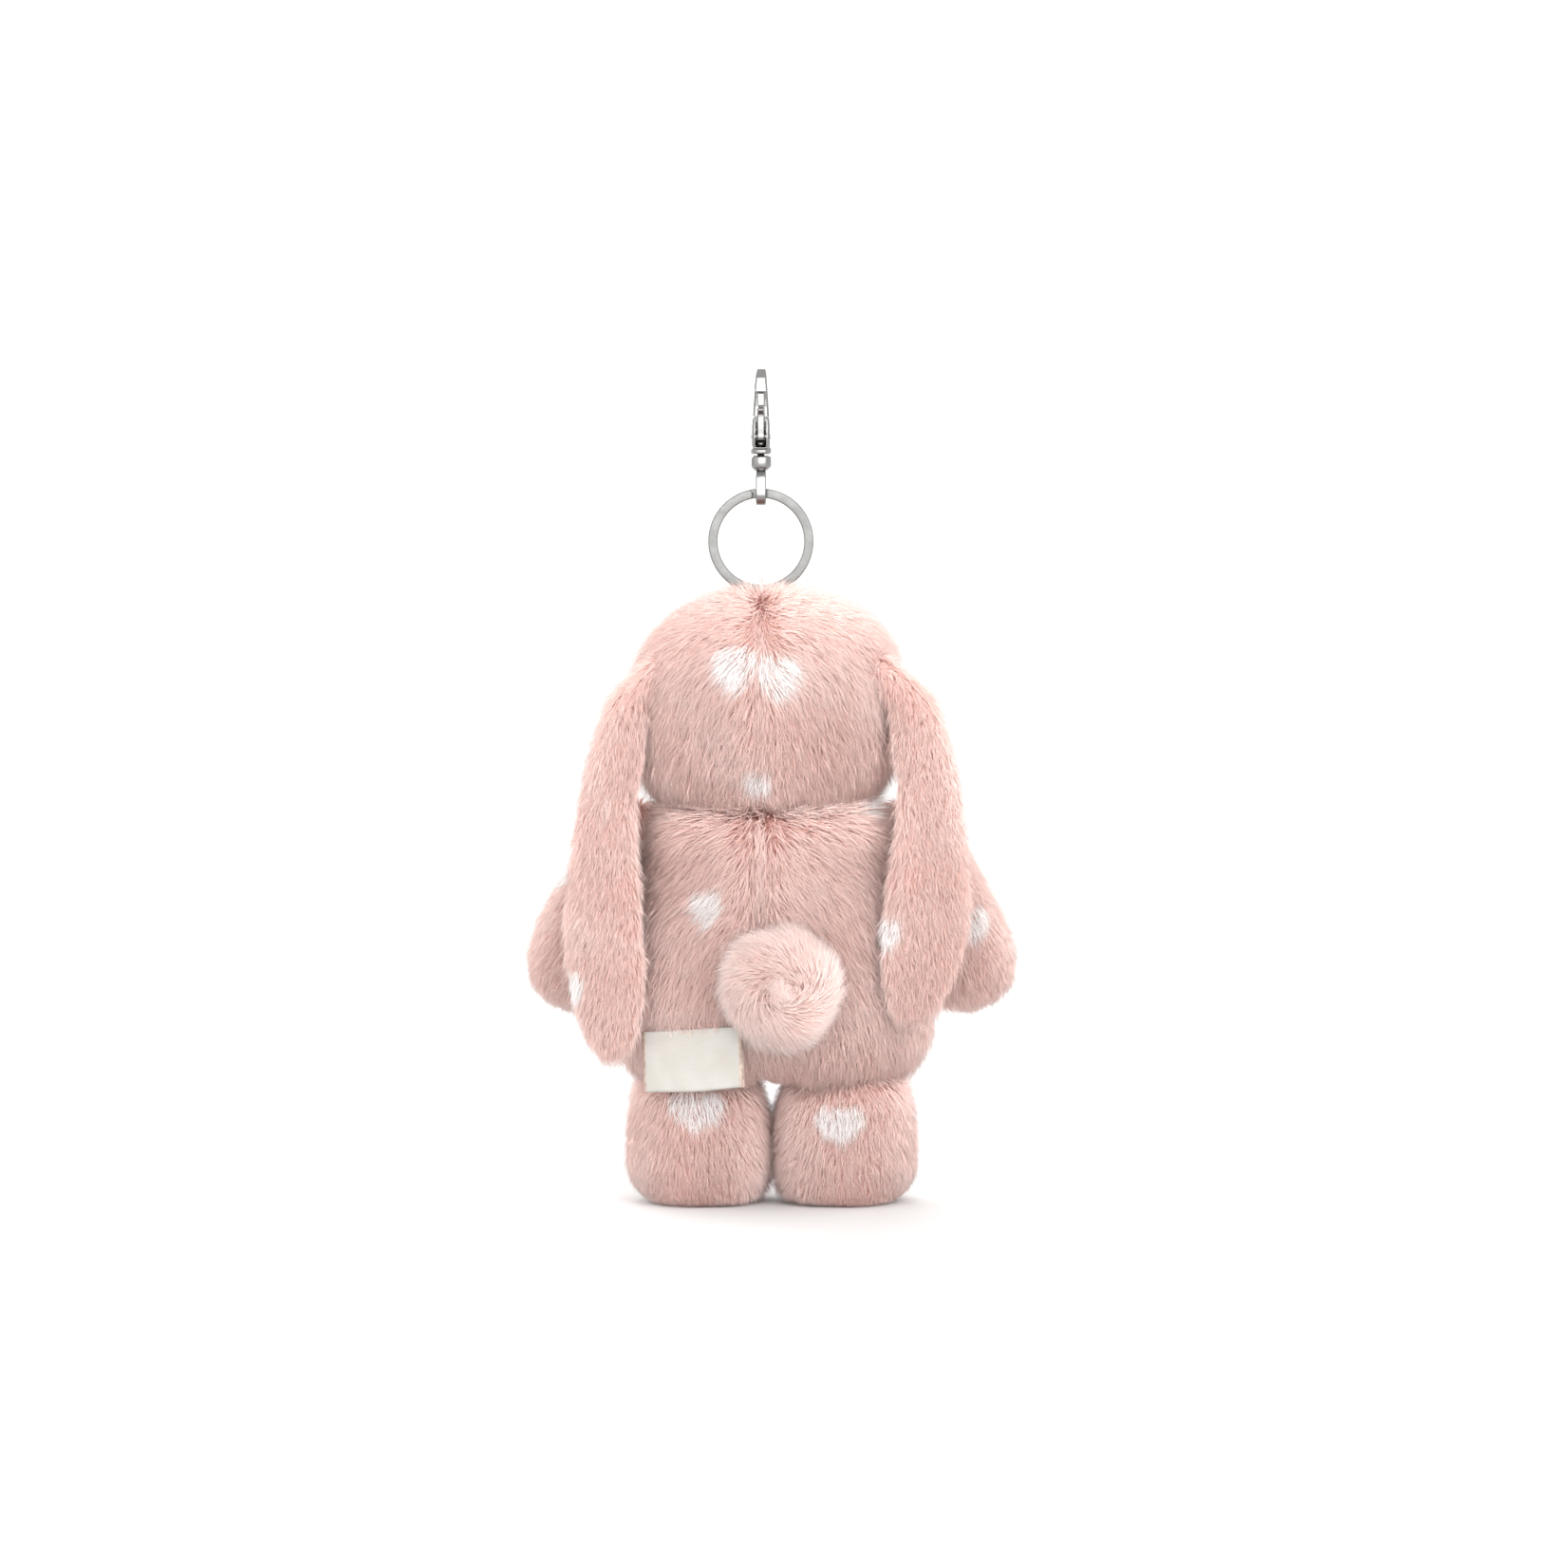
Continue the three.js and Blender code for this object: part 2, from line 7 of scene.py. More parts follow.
import bmesh
import bpy
import numpy as np
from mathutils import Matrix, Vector
from mathutils.bvhtree import BVHTree
from mathutils.kdtree import KDTree


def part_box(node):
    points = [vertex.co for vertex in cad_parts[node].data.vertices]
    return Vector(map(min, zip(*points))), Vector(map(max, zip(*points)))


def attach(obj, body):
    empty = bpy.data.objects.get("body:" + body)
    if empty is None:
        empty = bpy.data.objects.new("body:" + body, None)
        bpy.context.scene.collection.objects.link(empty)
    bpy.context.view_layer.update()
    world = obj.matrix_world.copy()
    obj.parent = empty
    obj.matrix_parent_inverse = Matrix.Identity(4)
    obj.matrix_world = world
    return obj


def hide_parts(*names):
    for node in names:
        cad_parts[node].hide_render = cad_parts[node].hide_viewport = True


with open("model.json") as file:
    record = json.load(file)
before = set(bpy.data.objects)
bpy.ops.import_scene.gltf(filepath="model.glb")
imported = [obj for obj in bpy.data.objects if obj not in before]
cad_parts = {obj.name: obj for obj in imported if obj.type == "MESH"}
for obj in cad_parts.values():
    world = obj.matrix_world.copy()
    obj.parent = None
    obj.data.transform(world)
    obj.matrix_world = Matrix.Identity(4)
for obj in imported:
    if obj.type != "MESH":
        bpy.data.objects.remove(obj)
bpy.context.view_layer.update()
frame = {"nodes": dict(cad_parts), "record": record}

MM = 0.001
nodes = frame["nodes"]


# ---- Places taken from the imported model, in millimetres ----
def box_mm(*names):
    """The lowest and highest corners of some CAD nodes together."""
    corners = [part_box(name) for name in names]
    low = np.min([np.array(c[0]) for c in corners], axis=0) / MM
    high = np.max([np.array(c[1]) for c in corners], axis=0) / MM
    return low, high


def joint_at(name):
    """Where a joint turns, and about which axis."""
    joint = next(j for j in frame["record"]["behaviour"]["joints"] if j["name"] == name)
    return np.array(joint["pos_m"]) / MM, np.array(joint["axis"], float)


HEAD_NODES = ("head_back_left", "head_back_right", "face_panel")
BODY_NODES = ("body_back_left", "body_back_right", "belly_panel")
SIDES = ("left", "right")
LIMB_NODES = {}
for side in SIDES:
    for limb, *halves in (("leg", "upper", "sole"), ("arm", "back", "front"), ("ear", "outer", "inner")):
        LIMB_NODES[f"{limb}_{side}"] = [f"{limb}_{side}_{half}" for half in halves]
head_high = box_mm(*HEAD_NODES)[1]
head_middle = sum(box_mm(*HEAD_NODES)) / 2
body_low, body_high = box_mm(*BODY_NODES)
body_middle = (body_low + body_high) / 2
seam_x = (box_mm("head_back_left")[0][0] + box_mm("head_back_right")[1][0]) / 2
side_seam_y = (box_mm("head_back_left")[0][1] + box_mm("face_panel")[1][1]) / 2
ring_low, ring_high = box_mm("split_ring")
ring_middle = (ring_low + ring_high) / 2
tail_middle = sum(box_mm("tail_pompom")) / 2
tail_wide = box_mm("tail_pompom")[1][0] - tail_middle[0]
nose_middle = sum(box_mm("nose_stitching")) / 2
eye_middles = [sum(box_mm(f"eye_{side}")) / 2 for side in SIDES]
gap_x = (box_mm("leg_left_upper")[0][0] + box_mm("leg_right_upper")[1][0]) / 2  # between the legs


# ---- Materials ----
def srgb(colour):
    """An 8-bit display colour as linear light."""
    parts = [c / 255 for c in colour]
    light = [c / 12.92 if c <= 0.04045 else ((c + 0.055) / 1.055) ** 2.4 for c in parts]
    return (*light, 1.0)


def material(name, colour, roughness, metallic=0.0, sheen=0.0, specular=0.5):
    made = bpy.data.materials.new(name)
    made.use_nodes = True
    shader = made.node_tree.nodes["Principled BSDF"]
    for socket, value in (("Base Color", colour), ("Roughness", roughness), ("Metallic", metallic),
                          ("Sheen Weight", sheen), ("Specular IOR Level", specular)):
        shader.inputs[socket].default_value = value
    return made


def node(made, kind, **values):
    """A new node in a material, with its inputs and properties set by name."""
    new = made.node_tree.nodes.new(kind)
    for key, value in values.items():
        if key in new.inputs:
            new.inputs[key].default_value = value
        else:
            setattr(new, key, value)
    return new


def wire(made, source, target):
    """Links an output to an input, or to the shader's input of that name."""
    if isinstance(target, str):
        target = made.node_tree.nodes["Principled BSDF"].inputs[target]
    made.node_tree.links.new(source, target)


def texture(made, kind, **values):
    """A texture node laid out in the object's own coordinates."""
    where = node(made, "ShaderNodeTexCoord")
    new = node(made, kind, **values)
    wire(made, where.outputs["Object"], new.inputs["Vector"])
    return new


def mottled(name, low, high, scale, roughness, **look):
    """Cloth, thread or plastic whose colour wanders between two tones."""
    made = material(name, srgb(high), roughness, **look)
    cloud = texture(made, "ShaderNodeTexNoise", Scale=scale, Detail=4.0)
    ramp = node(made, "ShaderNodeValToRGB")
    for element, place, colour in zip(ramp.color_ramp.elements, (0.35, 0.65), (low, high)):
        element.position, element.color = place, srgb(colour)
    wire(made, cloud.outputs["Fac"], ramp.inputs["Fac"])
    wire(made, ramp.outputs["Color"], "Base Color")
    return made


def bumped(made, relief, strength, distance):
    """Adds fine relief, from a texture's output, to a material."""
    bump = node(made, "ShaderNodeBump", Strength=strength, Distance=distance)
    wire(made, relief, bump.inputs["Height"])
    wire(made, bump.outputs["Normal"], "Normal")
    return made


def backing_cloth(name, low, high):
    """The knitted ground that the pile stands on. Its colour is darker and pinker than the hairs', painted
    shade of the pile's depth where the ground shows between them.
    """
    made = mottled(name, low, high, 260, 0.95, sheen=0.2, specular=0.2)
    knit = texture(made, "ShaderNodeTexVoronoi", Scale=1500)
    return bumped(made, knit.outputs["Distance"], 0.5, 0.0002)


def plated(name, grey, roughness):
    """Nickel plate with a faint cloudiness and fine handling marks."""
    made = material(name, srgb(grey), roughness, metallic=1.0)
    cloud = texture(made, "ShaderNodeTexNoise", Scale=420, Detail=6)
    spread = node(made, "ShaderNodeMapRange", **{"To Min": roughness * 0.7, "To Max": roughness * 1.5})
    wire(made, cloud.outputs["Fac"], spread.inputs["Value"])
    wire(made, spread.outputs["Result"], "Roughness")
    return bumped(made, cloud.outputs["Fac"], 0.03, 0.00002)


# Display colours of the pile, from its darker hairs to its paler ones.
PINKS = [(232, 199, 191), (242, 218, 212), (249, 234, 230)]
WHITES = [(253, 246, 244), (254, 251, 250), (255, 254, 254)]
PALES = [(241, 219, 213), (244, 225, 220), (247, 233, 229)]
PINK_SPAN = (0.03, 0.6)  # where a pink hair's tone lies on the pile's colour ramp
WHITE_SPAN = (0.7, 0.97)
PAINTED_ROOT_SHADE = (0.95, 0.70, 0.64)  # painted shade: a hair's root against its tip, darker and pinker as if deep in the pile
PILE_LAYER = "OFBake"  # the UV layer that holds each hair's tone (u) and the height along it (v), from which the material paints shade at the root


def pile(name, first, second):
    """Fur fibre. Each hair has its own place on a colour ramp (u), and darkens to its root (v) in painted
    shade of the pile's depth.
    """
    made = material(name, srgb(first[1]), 0.8, specular=0.1)
    where = node(made, "ShaderNodeUVMap", uv_map=PILE_LAYER)
    parts = node(made, "ShaderNodeSeparateXYZ")
    tone = node(made, "ShaderNodeValToRGB")
    depth = node(made, "ShaderNodeValToRGB")
    shade = node(made, "ShaderNodeMix", data_type="RGBA", blend_type="MULTIPLY")
    stops = list(zip((*np.linspace(*PINK_SPAN, 3), *np.linspace(*WHITE_SPAN, 3)), first + second))
    while len(tone.color_ramp.elements) < len(stops):
        tone.color_ramp.elements.new(0.5)
    for element, (place, colour) in zip(tone.color_ramp.elements, stops):
        element.position, element.color = place, srgb(colour)
    # Painted shade: the depth ramp darkens each hair towards its root, and is multiplied into its colour.
    depth.color_ramp.elements[0].color = (*PAINTED_ROOT_SHADE, 1)
    depth.color_ramp.elements[1].position = 0.8
    shade.inputs[0].default_value = 1.0
    wire(made, where.outputs["UV"], parts.inputs["Vector"])
    wire(made, parts.outputs["X"], tone.inputs["Fac"])
    wire(made, parts.outputs["Y"], depth.inputs["Fac"])
    wire(made, tone.outputs["Color"], shade.inputs[6])
    wire(made, depth.outputs["Color"], shade.inputs[7])
    wire(made, shade.outputs[2], "Base Color")
    return made


pink_pile = pile("pink_pile", PINKS, WHITES)
pale_pile = pile("pale_pile", PALES, WHITES)
# The grounds' colours are painted shade: darker and pinker than the pile above them.
pink_cloth = backing_cloth("pink_backing", (204, 154, 145), (212, 168, 159))
pale_cloth = backing_cloth("pale_backing", (218, 184, 176), (226, 198, 191))
filling = mottled("polyester_filling", (232, 230, 227), (250, 249, 247), 180, 1.0, sheen=0.3, specular=0.1)
bumped(filling, texture(filling, "ShaderNodeTexNoise", Scale=180, Detail=4.0).outputs["Fac"], 0.8, 0.001)
cast_nickel = plated("cast_nickel", (138, 138, 137), 0.24)
strip_nickel = plated("strip_nickel", (112, 112, 111), 0.42)
cord_thread = mottled("cord_thread", (200, 160, 152), (222, 190, 183), 900, 0.85, sheen=0.2)
floss = mottled("embroidery_floss", (182, 110, 110), (208, 144, 141), 700, 0.55, sheen=0.3)
washer_plastic = mottled("washer_plastic", (228, 228, 222), (238, 238, 234), 300, 0.45)
bead = mottled("eye_bead", (16, 11, 10), (30, 21, 19), 240, 0.08)
# Painted shade: the label's two side edges are coloured darker and warmer, as the shade along them.
painted_edge_shade = mottled("label_painted_edge_shade", (150, 130, 120), (190, 172, 160), 700, 0.8, sheen=0.2)
satin = mottled("label_cloth", (165, 161, 155), (175, 173, 168), 90, 0.6, sheen=0.1, specular=0.3)
ribs = texture(satin, "ShaderNodeTexWave", Scale=900.0, Distortion=0.2, bands_direction="Z")
bumped(satin, ribs.outputs["Fac"], 0.35, 0.0001)  # the ribbon's fine weft


# ---- Mesh tools ----
def add(name, mesh, body, made_of=(), stands_for=()):
    """Puts a mesh in the scene, as a piece that rides on a body where one is given."""
    piece = bpy.data.objects.new(name, mesh)
    bpy.context.scene.collection.objects.link(piece)
    for each in made_of:
        mesh.materials.append(each)
    if body:
        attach(piece, body)
    if stands_for:
        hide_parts(*stands_for)
    return piece


def modify(thing, kind, **settings):
    """Gives an object a modifier."""
    new = thing.modifiers.new(kind.lower(), kind)
    for key, value in settings.items():
        setattr(new, key, value)
    return new


def settle(piece, kind, **settings):
    """Applies a modifier to a piece that is built but not yet riding."""
    modify(piece, kind, **settings)
    graph = bpy.context.evaluated_depsgraph_get()
    made = bpy.data.meshes.new_from_object(piece.evaluated_get(graph))
    piece.modifiers.clear()
    old, piece.data = piece.data, made
    made.name = piece.name
    bpy.data.meshes.remove(old)
    return made


def refinished(name, made_of, kind, **settings):
    """Gives a CAD node that stays its material, and a modifier that rounds it."""
    nodes[name].data.materials.clear()
    nodes[name].data.materials.append(made_of)
    modify(nodes[name], kind, **settings)


def points_of(mesh):
    """A mesh's points in millimetres."""
    flat = np.empty(len(mesh.vertices) * 3)
    mesh.vertices.foreach_get("co", flat)
    return flat.reshape(-1, 3) / MM


def move_points(mesh, points):
    mesh.vertices.foreach_set("co", (points * MM).ravel())
    mesh.update()


def normals_of(mesh):
    flat = np.empty(len(mesh.vertices) * 3)
    mesh.vertex_normals.foreach_get("vector", flat)
    return flat.reshape(-1, 3)


def unit(vectors):
    return vectors / np.maximum(np.linalg.norm(vectors, axis=-1, keepdims=True), 1e-9)


def smoothstep(value, low, high):
    share = np.clip((value - low) / (high - low), 0, 1)
    return share * share * (3 - 2 * share)


def hull_of(names):
    """The closed hull of some CAD nodes."""
    shell = bmesh.new()
    for name in names:
        for vertex in nodes[name].data.vertices:
            shell.verts.new(vertex.co)
    bmesh.ops.convex_hull(shell, input=shell.verts)
    inside = [vertex for vertex in shell.verts if not vertex.link_faces]
    bmesh.ops.delete(shell, geom=inside, context="VERTS")
    mesh = bpy.data.meshes.new("hull")
    shell.to_mesh(mesh)
    shell.free()
    return mesh


def merged(name, meshes):
    """Several meshes as one. Those that nothing else uses are removed."""
    work = bmesh.new()
    for mesh in meshes:
        work.from_mesh(mesh)
        if not mesh.users:
            bpy.data.meshes.remove(mesh)
    mesh = bpy.data.meshes.new(name)
    work.to_mesh(mesh)
    work.free()
    return mesh


def keep_largest(mesh):
    """Drops the small closed bubbles that a remesh leaves in a gap."""
    work = bmesh.new()
    work.from_mesh(mesh)
    left, islands = set(work.verts), []
    while left:
        island, fresh = set(), {left.pop()}
        while fresh:
            island |= fresh
            fresh = {edge.other_vert(vertex) for vertex in fresh for edge in vertex.link_edges} - island
        islands.append(island)
        left -= island
    for island in sorted(islands, key=len)[:-1]:
        bmesh.ops.delete(work, geom=list(island), context="VERTS")
    work.to_mesh(mesh)
    work.free()


def skin(name, names, voxel=1.5, rounds=14, hull=True):
    """A smooth closed skin over some CAD nodes, built but not yet riding."""
    source = hull_of(names) if hull else merged(name, [nodes[each].data for each in names])
    piece = add(name, source, None)
    settle(piece, "REMESH", mode="VOXEL", voxel_size=voxel * MM)
    if not hull:
        keep_largest(piece.data)
    mesh = settle(piece, "SMOOTH", factor=0.5, iterations=rounds)
    mesh.shade_smooth()
    return piece


def dressed(piece, made_of, body, names):
    """Gives a built piece its material, its body and the CAD nodes that it stands for."""
    piece.data.materials.clear()
    piece.data.materials.append(made_of)
    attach(piece, body)
    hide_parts(*names)
    return piece


# ---- The pile ----
HAIR_WIDTH = 0.13
SUNK = 0.4  # how deep a hair's root sits under the skin
ELBOW = 0.42  # how far along a hair its bend lies
STRAYS, STRAY_RISE = 0.1, 16  # the share of hairs that stand up more, and by how many degrees
TUFT = 9  # hairs to each one that leads them
WAVES = 5  # how many are summed in a random field
PILE_FLOOR = 0.25  # the lowest that a hair may reach


def waves(points, seed, length):
    """A smooth random field over the points, mostly from -1 to 1, with features of about that length."""
    rng = np.random.default_rng(seed)
    total = np.zeros(len(points))
    for _ in range(WAVES):
        way = unit(rng.normal(size=3)) * 2 * math.pi / (length * rng.uniform(0.7, 1.6))
        total += np.sin(points @ way + rng.uniform(0, 2 * math.pi))
    return total / WAVES * 1.4


def scatter(mesh, density, rng):
    """Random roots over a mesh, so many to the square millimetre, with their normals."""
    mesh.calc_loop_triangles()
    corners = np.empty(len(mesh.loop_triangles) * 3, int)
    mesh.loop_triangles.foreach_get("vertices", corners)
    corners = corners.reshape(-1, 3)
    points, normals = points_of(mesh), normals_of(mesh)
    a, b, c = (points[corners[:, k]] for k in range(3))
    areas = np.linalg.norm(np.cross(b - a, c - a), axis=1) / 2
    count = int(areas.sum() * density)
    chosen = rng.choice(len(areas), size=count, p=areas / areas.sum())
    u, v = rng.random(count), rng.random(count)
    over = u + v > 1
    u[over], v[over] = 1 - u[over], 1 - v[over]
    shares = np.stack([1 - u - v, u, v], axis=1)[:, :, None]
    roots = (points[corners[chosen]] * shares).sum(axis=1)
    return roots, unit((normals[corners[chosen]] * shares).sum(axis=1))


def turned(ways, normals, angles):
    """Each way turned about its normal."""
    angles = angles[:, None]
    return ways * np.cos(angles) + np.cross(normals, ways) * np.sin(angles)


def along(ways, normals):
    """Each way laid flat on the surface."""
    return unit(ways - (ways * normals).sum(axis=1, keepdims=True) * normals)


def comb(mesh, seed, flow, density=7.4, length=8, lift=(37, 11), clump=0.14, shape=None, stand=None):
    """Hairs on a mesh: (count, 3, 3) root, middle and tip, with the normals at their roots.

    flow says which way they lie, lift how steeply their lower and upper parts rise, in degrees, and stand
    how much more. shape changes their lengths, and a hair left with none is dropped."""
    rng = np.random.default_rng(seed)
    roots, normals = scatter(mesh, density, rng)
    ways = along(flow(roots, normals), normals)
    bend = 0.2 * waves(roots, seed + 1, 16) + 0.08 * waves(roots, seed + 2, 6)
    ways = turned(ways, normals, bend + rng.normal(0, 0.16, len(roots)))
    sizes = length * np.clip(rng.normal(1, 0.14, len(roots)), 0.6, 1.35)
    more = stand(roots, normals) if stand else 0
    more = more + np.where(rng.random(len(roots)) < STRAYS, STRAY_RISE, 0)
    rise = [np.radians(np.clip(rng.normal(angle, 5, len(roots)) + more, 2, 88)) for angle in lift]
    if shape:
        sizes = shape(roots, normals, sizes)
        roots, normals, ways, *rise = (each[sizes > 0] for each in (roots, normals, ways, *rise))
        sizes = sizes[sizes > 0]
    late = turned(ways, normals, rng.normal(0, 0.22, len(roots)))
    first = normals * np.sin(rise[0])[:, None] + ways * np.cos(rise[0])[:, None]
    second = normals * np.sin(rise[1])[:, None] + late * np.cos(rise[1])[:, None]
    starts = roots - normals * SUNK
    middles = roots + first * (sizes * ELBOW)[:, None]
    tips = middles + second * (sizes * (1 - ELBOW))[:, None]

    # Tufts: each hair's tip is drawn towards that of the nearest leading hair.
    leaders = np.arange(0, len(roots), TUFT)
    tree = KDTree(len(leaders))
    for place, leader in enumerate(leaders):
        tree.insert(roots[leader], place)
    tree.balance()
    nearest = leaders[[tree.find(root)[1] for root in roots]]
    spread = roots - roots[nearest]
    pull = clump * rng.uniform(0.5, 1.2, len(roots))[:, None]
    tips += (tips[nearest] + spread * 0.3 - tips) * np.clip(pull, 0, 1)
    middles += (middles[nearest] + spread * 0.75 - middles) * np.clip(pull, 0, 1) * 0.4
    return np.stack([starts, middles, tips], axis=1), normals


def hair_mesh(name, hairs, normals, tones):
    """Closed three-sided slivers, one for each hair. tones are where its root, middle and tip lie on
    the colour ramp."""
    count = len(hairs)
    points = np.empty((count, 7, 3))
    for level, size in ((0, HAIR_WIDTH), (1, HAIR_WIDTH * 0.8)):
        way = unit(hairs[:, level + 1] - hairs[:, level])
        side = unit(np.cross(way, normals))
        up = np.cross(way, side)
        for corner in range(3):
            angle = -math.pi / 2 + corner * 2 * math.pi / 3
            reach = side * math.cos(angle) + up * math.sin(angle)
            points[:, level * 3 + corner] = hairs[:, level] + reach * size / 2
    points[:, 6] = hairs[:, 2]
    pattern = np.array([2, 1, 0, 0, 1, 4, 3, 1, 2, 5, 4, 2, 0, 3, 5, 3, 4, 6, 4, 5, 6, 5, 3, 6])
    sizes = [3, 4, 4, 4, 3, 3, 3]
    starts = np.concatenate([[0], np.cumsum(sizes)[:-1]])
    loops = (np.arange(count)[:, None] * 7 + pattern[None]).ravel()
    faces = (np.arange(count)[:, None] * len(pattern) + starts[None]).ravel()
    mesh = bpy.data.meshes.new(name)
    mesh.vertices.add(count * 7)
    mesh.vertices.foreach_set("co", (points * MM).ravel())
    mesh.loops.add(len(loops))
    mesh.loops.foreach_set("vertex_index", loops.astype(np.int32))
    mesh.polygons.add(len(faces))
    mesh.polygons.foreach_set("loop_start", faces.astype(np.int32))
    mesh.update(calc_edges=True)
    mesh.shade_smooth()
    spread = np.array([-1, 0, 1, -1, 0, 1, 0]) * 0.003
    # v is the height along each hair; the material paints shade where v is low.
    levels = np.array([0.02, 0.02, 0.02, 0.5, 0.5, 0.5, 0.98])
    places = np.empty((count, len(pattern), 2))
    places[..., 0] = tones[:, (pattern // 3)] + spread[pattern][None]
    # White hairs get less painted root shade: their v is squeezed towards the tip.
    white = places[..., 0] > (PINK_SPAN[1] + WHITE_SPAN[0]) / 2
    places[..., 1] = levels[pattern][None] * np.where(white, 0.5, 1) + np.where(white, 0.49, 0)
    mesh.uv_layers.new(name=PILE_LAYER).uv.foreach_set("vector", places.ravel())
    return mesh


# ---- Heart patches ----
def heart_patch(tree, x, z, wide, high, side, roll):
    """A heart printed on the pile at (x, z), seen from the back (side 1) or the front (side -1)."""
    start = Vector((x, side * 200, z)) * MM
    hit, normal, _, _ = tree.ray_cast(start, Vector((0, -side, 0)))
    if hit is None:
        hit, normal, _, _ = tree.find_nearest(Vector((x, side * 12, z)) * MM)
    normal = np.array(normal)
    up = unit(np.array([0, 0, 1.0]) - normal[2] * normal)
    across = np.cross(up, normal)
    tilt = math.radians(roll)
    turned_up = up * math.cos(tilt) + across * math.sin(tilt)
    return np.array(hit) / MM, normal, np.cross(turned_up, normal), turned_up, wide / 2.3, high / 2.2


def in_hearts(points, hearts, rng):
    inside = np.zeros(len(points), bool)
    blur = 1 + rng.normal(0, 0.05, len(points))
    for centre, normal, across, up, wide, high in hearts:
        away = points - centre
        u = (away @ across) / wide * blur
        v = (away @ up) / high * blur
        near = np.abs(away @ normal) < 9
        inside |= near & ((u * u + v * v - 1) ** 3 - u * u * v**3 < 0)
    return inside


def tree_of(mesh):
    return BVHTree.FromPolygons([v.co for v in mesh.vertices], [tuple(p.vertices) for p in mesh.polygons])


def toned(hairs, seed, hearts):
    """Where each hair's root, middle and tip lie on the colour ramp: pinks that drift over the cloth,
    or whites."""
    rng = np.random.default_rng(seed)
    drift = 0.5 + waves(hairs[:, 0], seed + 5, 22) * 0.18 + rng.normal(0, 0.17, len(hairs))
    tones = PINK_SPAN[0] + (PINK_SPAN[1] - PINK_SPAN[0]) * np.clip(drift, 0, 1)
    tones = np.repeat(tones[:, None], 3, axis=1)
    pale = rng.uniform(*WHITE_SPAN, len(hairs))
    inner = (hairs[:, 0] + hairs[:, 1]) / 2
    outer = (hairs[:, 1] + hairs[:, 2]) / 2
    for level, seen in enumerate((inner, outer, outer)):
        white = in_hearts(seen, hearts, np.random.default_rng(seed + 7))
        tones[white, level] = pale[white]
    return tones


# ---- Tag ----
TAG_HEIGHT = 14.6
TAG_FOLD = 0.6  # from ply to ply, middle to middle
TAG_PLY = 0.32
tag_pivot, tag_across = joint_at("tag_lift")
tag_wide = 25.0


def tag_frame():
    """The tag's own directions, across, down and outwards, from its node's mesh."""
    points = points_of(nodes["fabric_tag"].data)
    low = (points - tag_pivot)[points[:, 2] < points[:, 2].min() + 0.4].mean(axis=0)
    down = unit(low - (low @ tag_across) * tag_across)
    outward = np.cross(down, tag_across)
    return tag_across, down, outward * np.sign(outward @ np.cross([0, 0, 1.0], tag_across))


tag_x, tag_down, tag_out = tag_frame()


def tuck_under_tag(hairs):
    """Presses the hairs behind the tag down, so that none comes through it."""
    away = hairs - tag_pivot
    u, w, n = (away @ axis for axis in (tag_x, tag_down, tag_out))
    over = (np.abs(u) < tag_wide / 2 + 0.3) & (w > 0.8) & (w < TAG_HEIGHT + 0.3) & (n > -1.1)
    hairs -= np.where(over, n + 1.1 + 0.2 * np.abs(np.sin(u * 3)), 0)[..., None] * tag_out
    return hairs


# ---- Stuffed skins ----
EAR_ROOT, EAR_TUCK = 13, 6  # how much of an ear's top bends into the head, and how far
CROWN_SHIFT = 1.6  # the crown is sewn a little off the head's middle
SEAM_HELD, GROOVE_WIDTH = 1.2, 1.6  # from the back seam
SIM_SCALE = 7  # the cloth run works on an enlarged copy, the size that its settings suit
SIM_FRAMES = 20
SIM_SETTINGS = {
    "quality": 5, "mass": 0.3, "tension_stiffness": 15, "compression_stiffness": 15, "bending_stiffness": 2,
    "use_pressure": True, "uniform_pressure_force": 4,
}


def from_back_seam(points):
    """Distance from the seam down the middle of the back, and far away in front of it."""
    return np.where(points[:, 1] > side_seam_y, np.abs(points[:, 0] - seam_x), 99)


def puffed(piece, cap, seamed=False):
    """Stuffs a skin from inside with a cloth run. cap is the furthest that a point may move, in mm. Where
    the skin is seamed, its back seam is held."""
    before = points_of(piece.data)
    copy = add("puffing", piece.data.copy(), None)
    move_points(copy.data, before * SIM_SCALE)
    cloth = modify(copy, "CLOTH").settings
    for setting, value in SIM_SETTINGS.items():
        setattr(cloth, setting, value)
    cloth.effector_weights.gravity = 0
    if seamed:
        held = np.flatnonzero(from_back_seam(before) < SEAM_HELD)
        copy.vertex_groups.new(name="seam").add(held.tolist(), 1.0, "REPLACE")
        cloth.vertex_group_mass = "seam"
    scene = bpy.context.scene
    for step in range(1, SIM_FRAMES + 1):
        scene.frame_set(step)
    made = copy.evaluated_get(bpy.context.evaluated_depsgraph_get()).data
    shift = points_of(made) / SIM_SCALE - before
    far = np.linalg.norm(shift, axis=1, keepdims=True)
    move_points(piece.data, before + shift * np.minimum(1, cap / np.maximum(far, 1e-6)))
    old = copy.data
    bpy.data.objects.remove(copy)
    bpy.data.meshes.remove(old)
    scene.frame_set(1)


def grooved(piece, depth):
    """Draws a skin in along its back seam."""
    points = points_of(piece.data)
    inward = depth * np.exp(-((from_back_seam(points) / GROOVE_WIDTH) ** 2))
    move_points(piece.data, points - normals_of(piece.data) * inward[:, None])


def sewn_in(ear):
    """Carries the top of an ear into the head, where it is sewn. Its outer side keeps its shoulder."""
    points = points_of(ear.data)
    high = points[:, 2].max()
    top = smoothstep(points[:, 2], high - EAR_ROOT, high)
    off = np.abs(points[:, 0] - head_middle[0])
    near = off[points[:, 2] > high - EAR_ROOT]
    outer = smoothstep(off, near.min(), near.max())
    reach = np.array([head_middle[0], 0, 0]) - points * [1, 0, 0]
    shift = EAR_TUCK * top * (1 - 0.7 * outer)
    move_points(ear.data, points + unit(reach) * shift[:, None] + top[:, None] * [0, 0, -1.0])


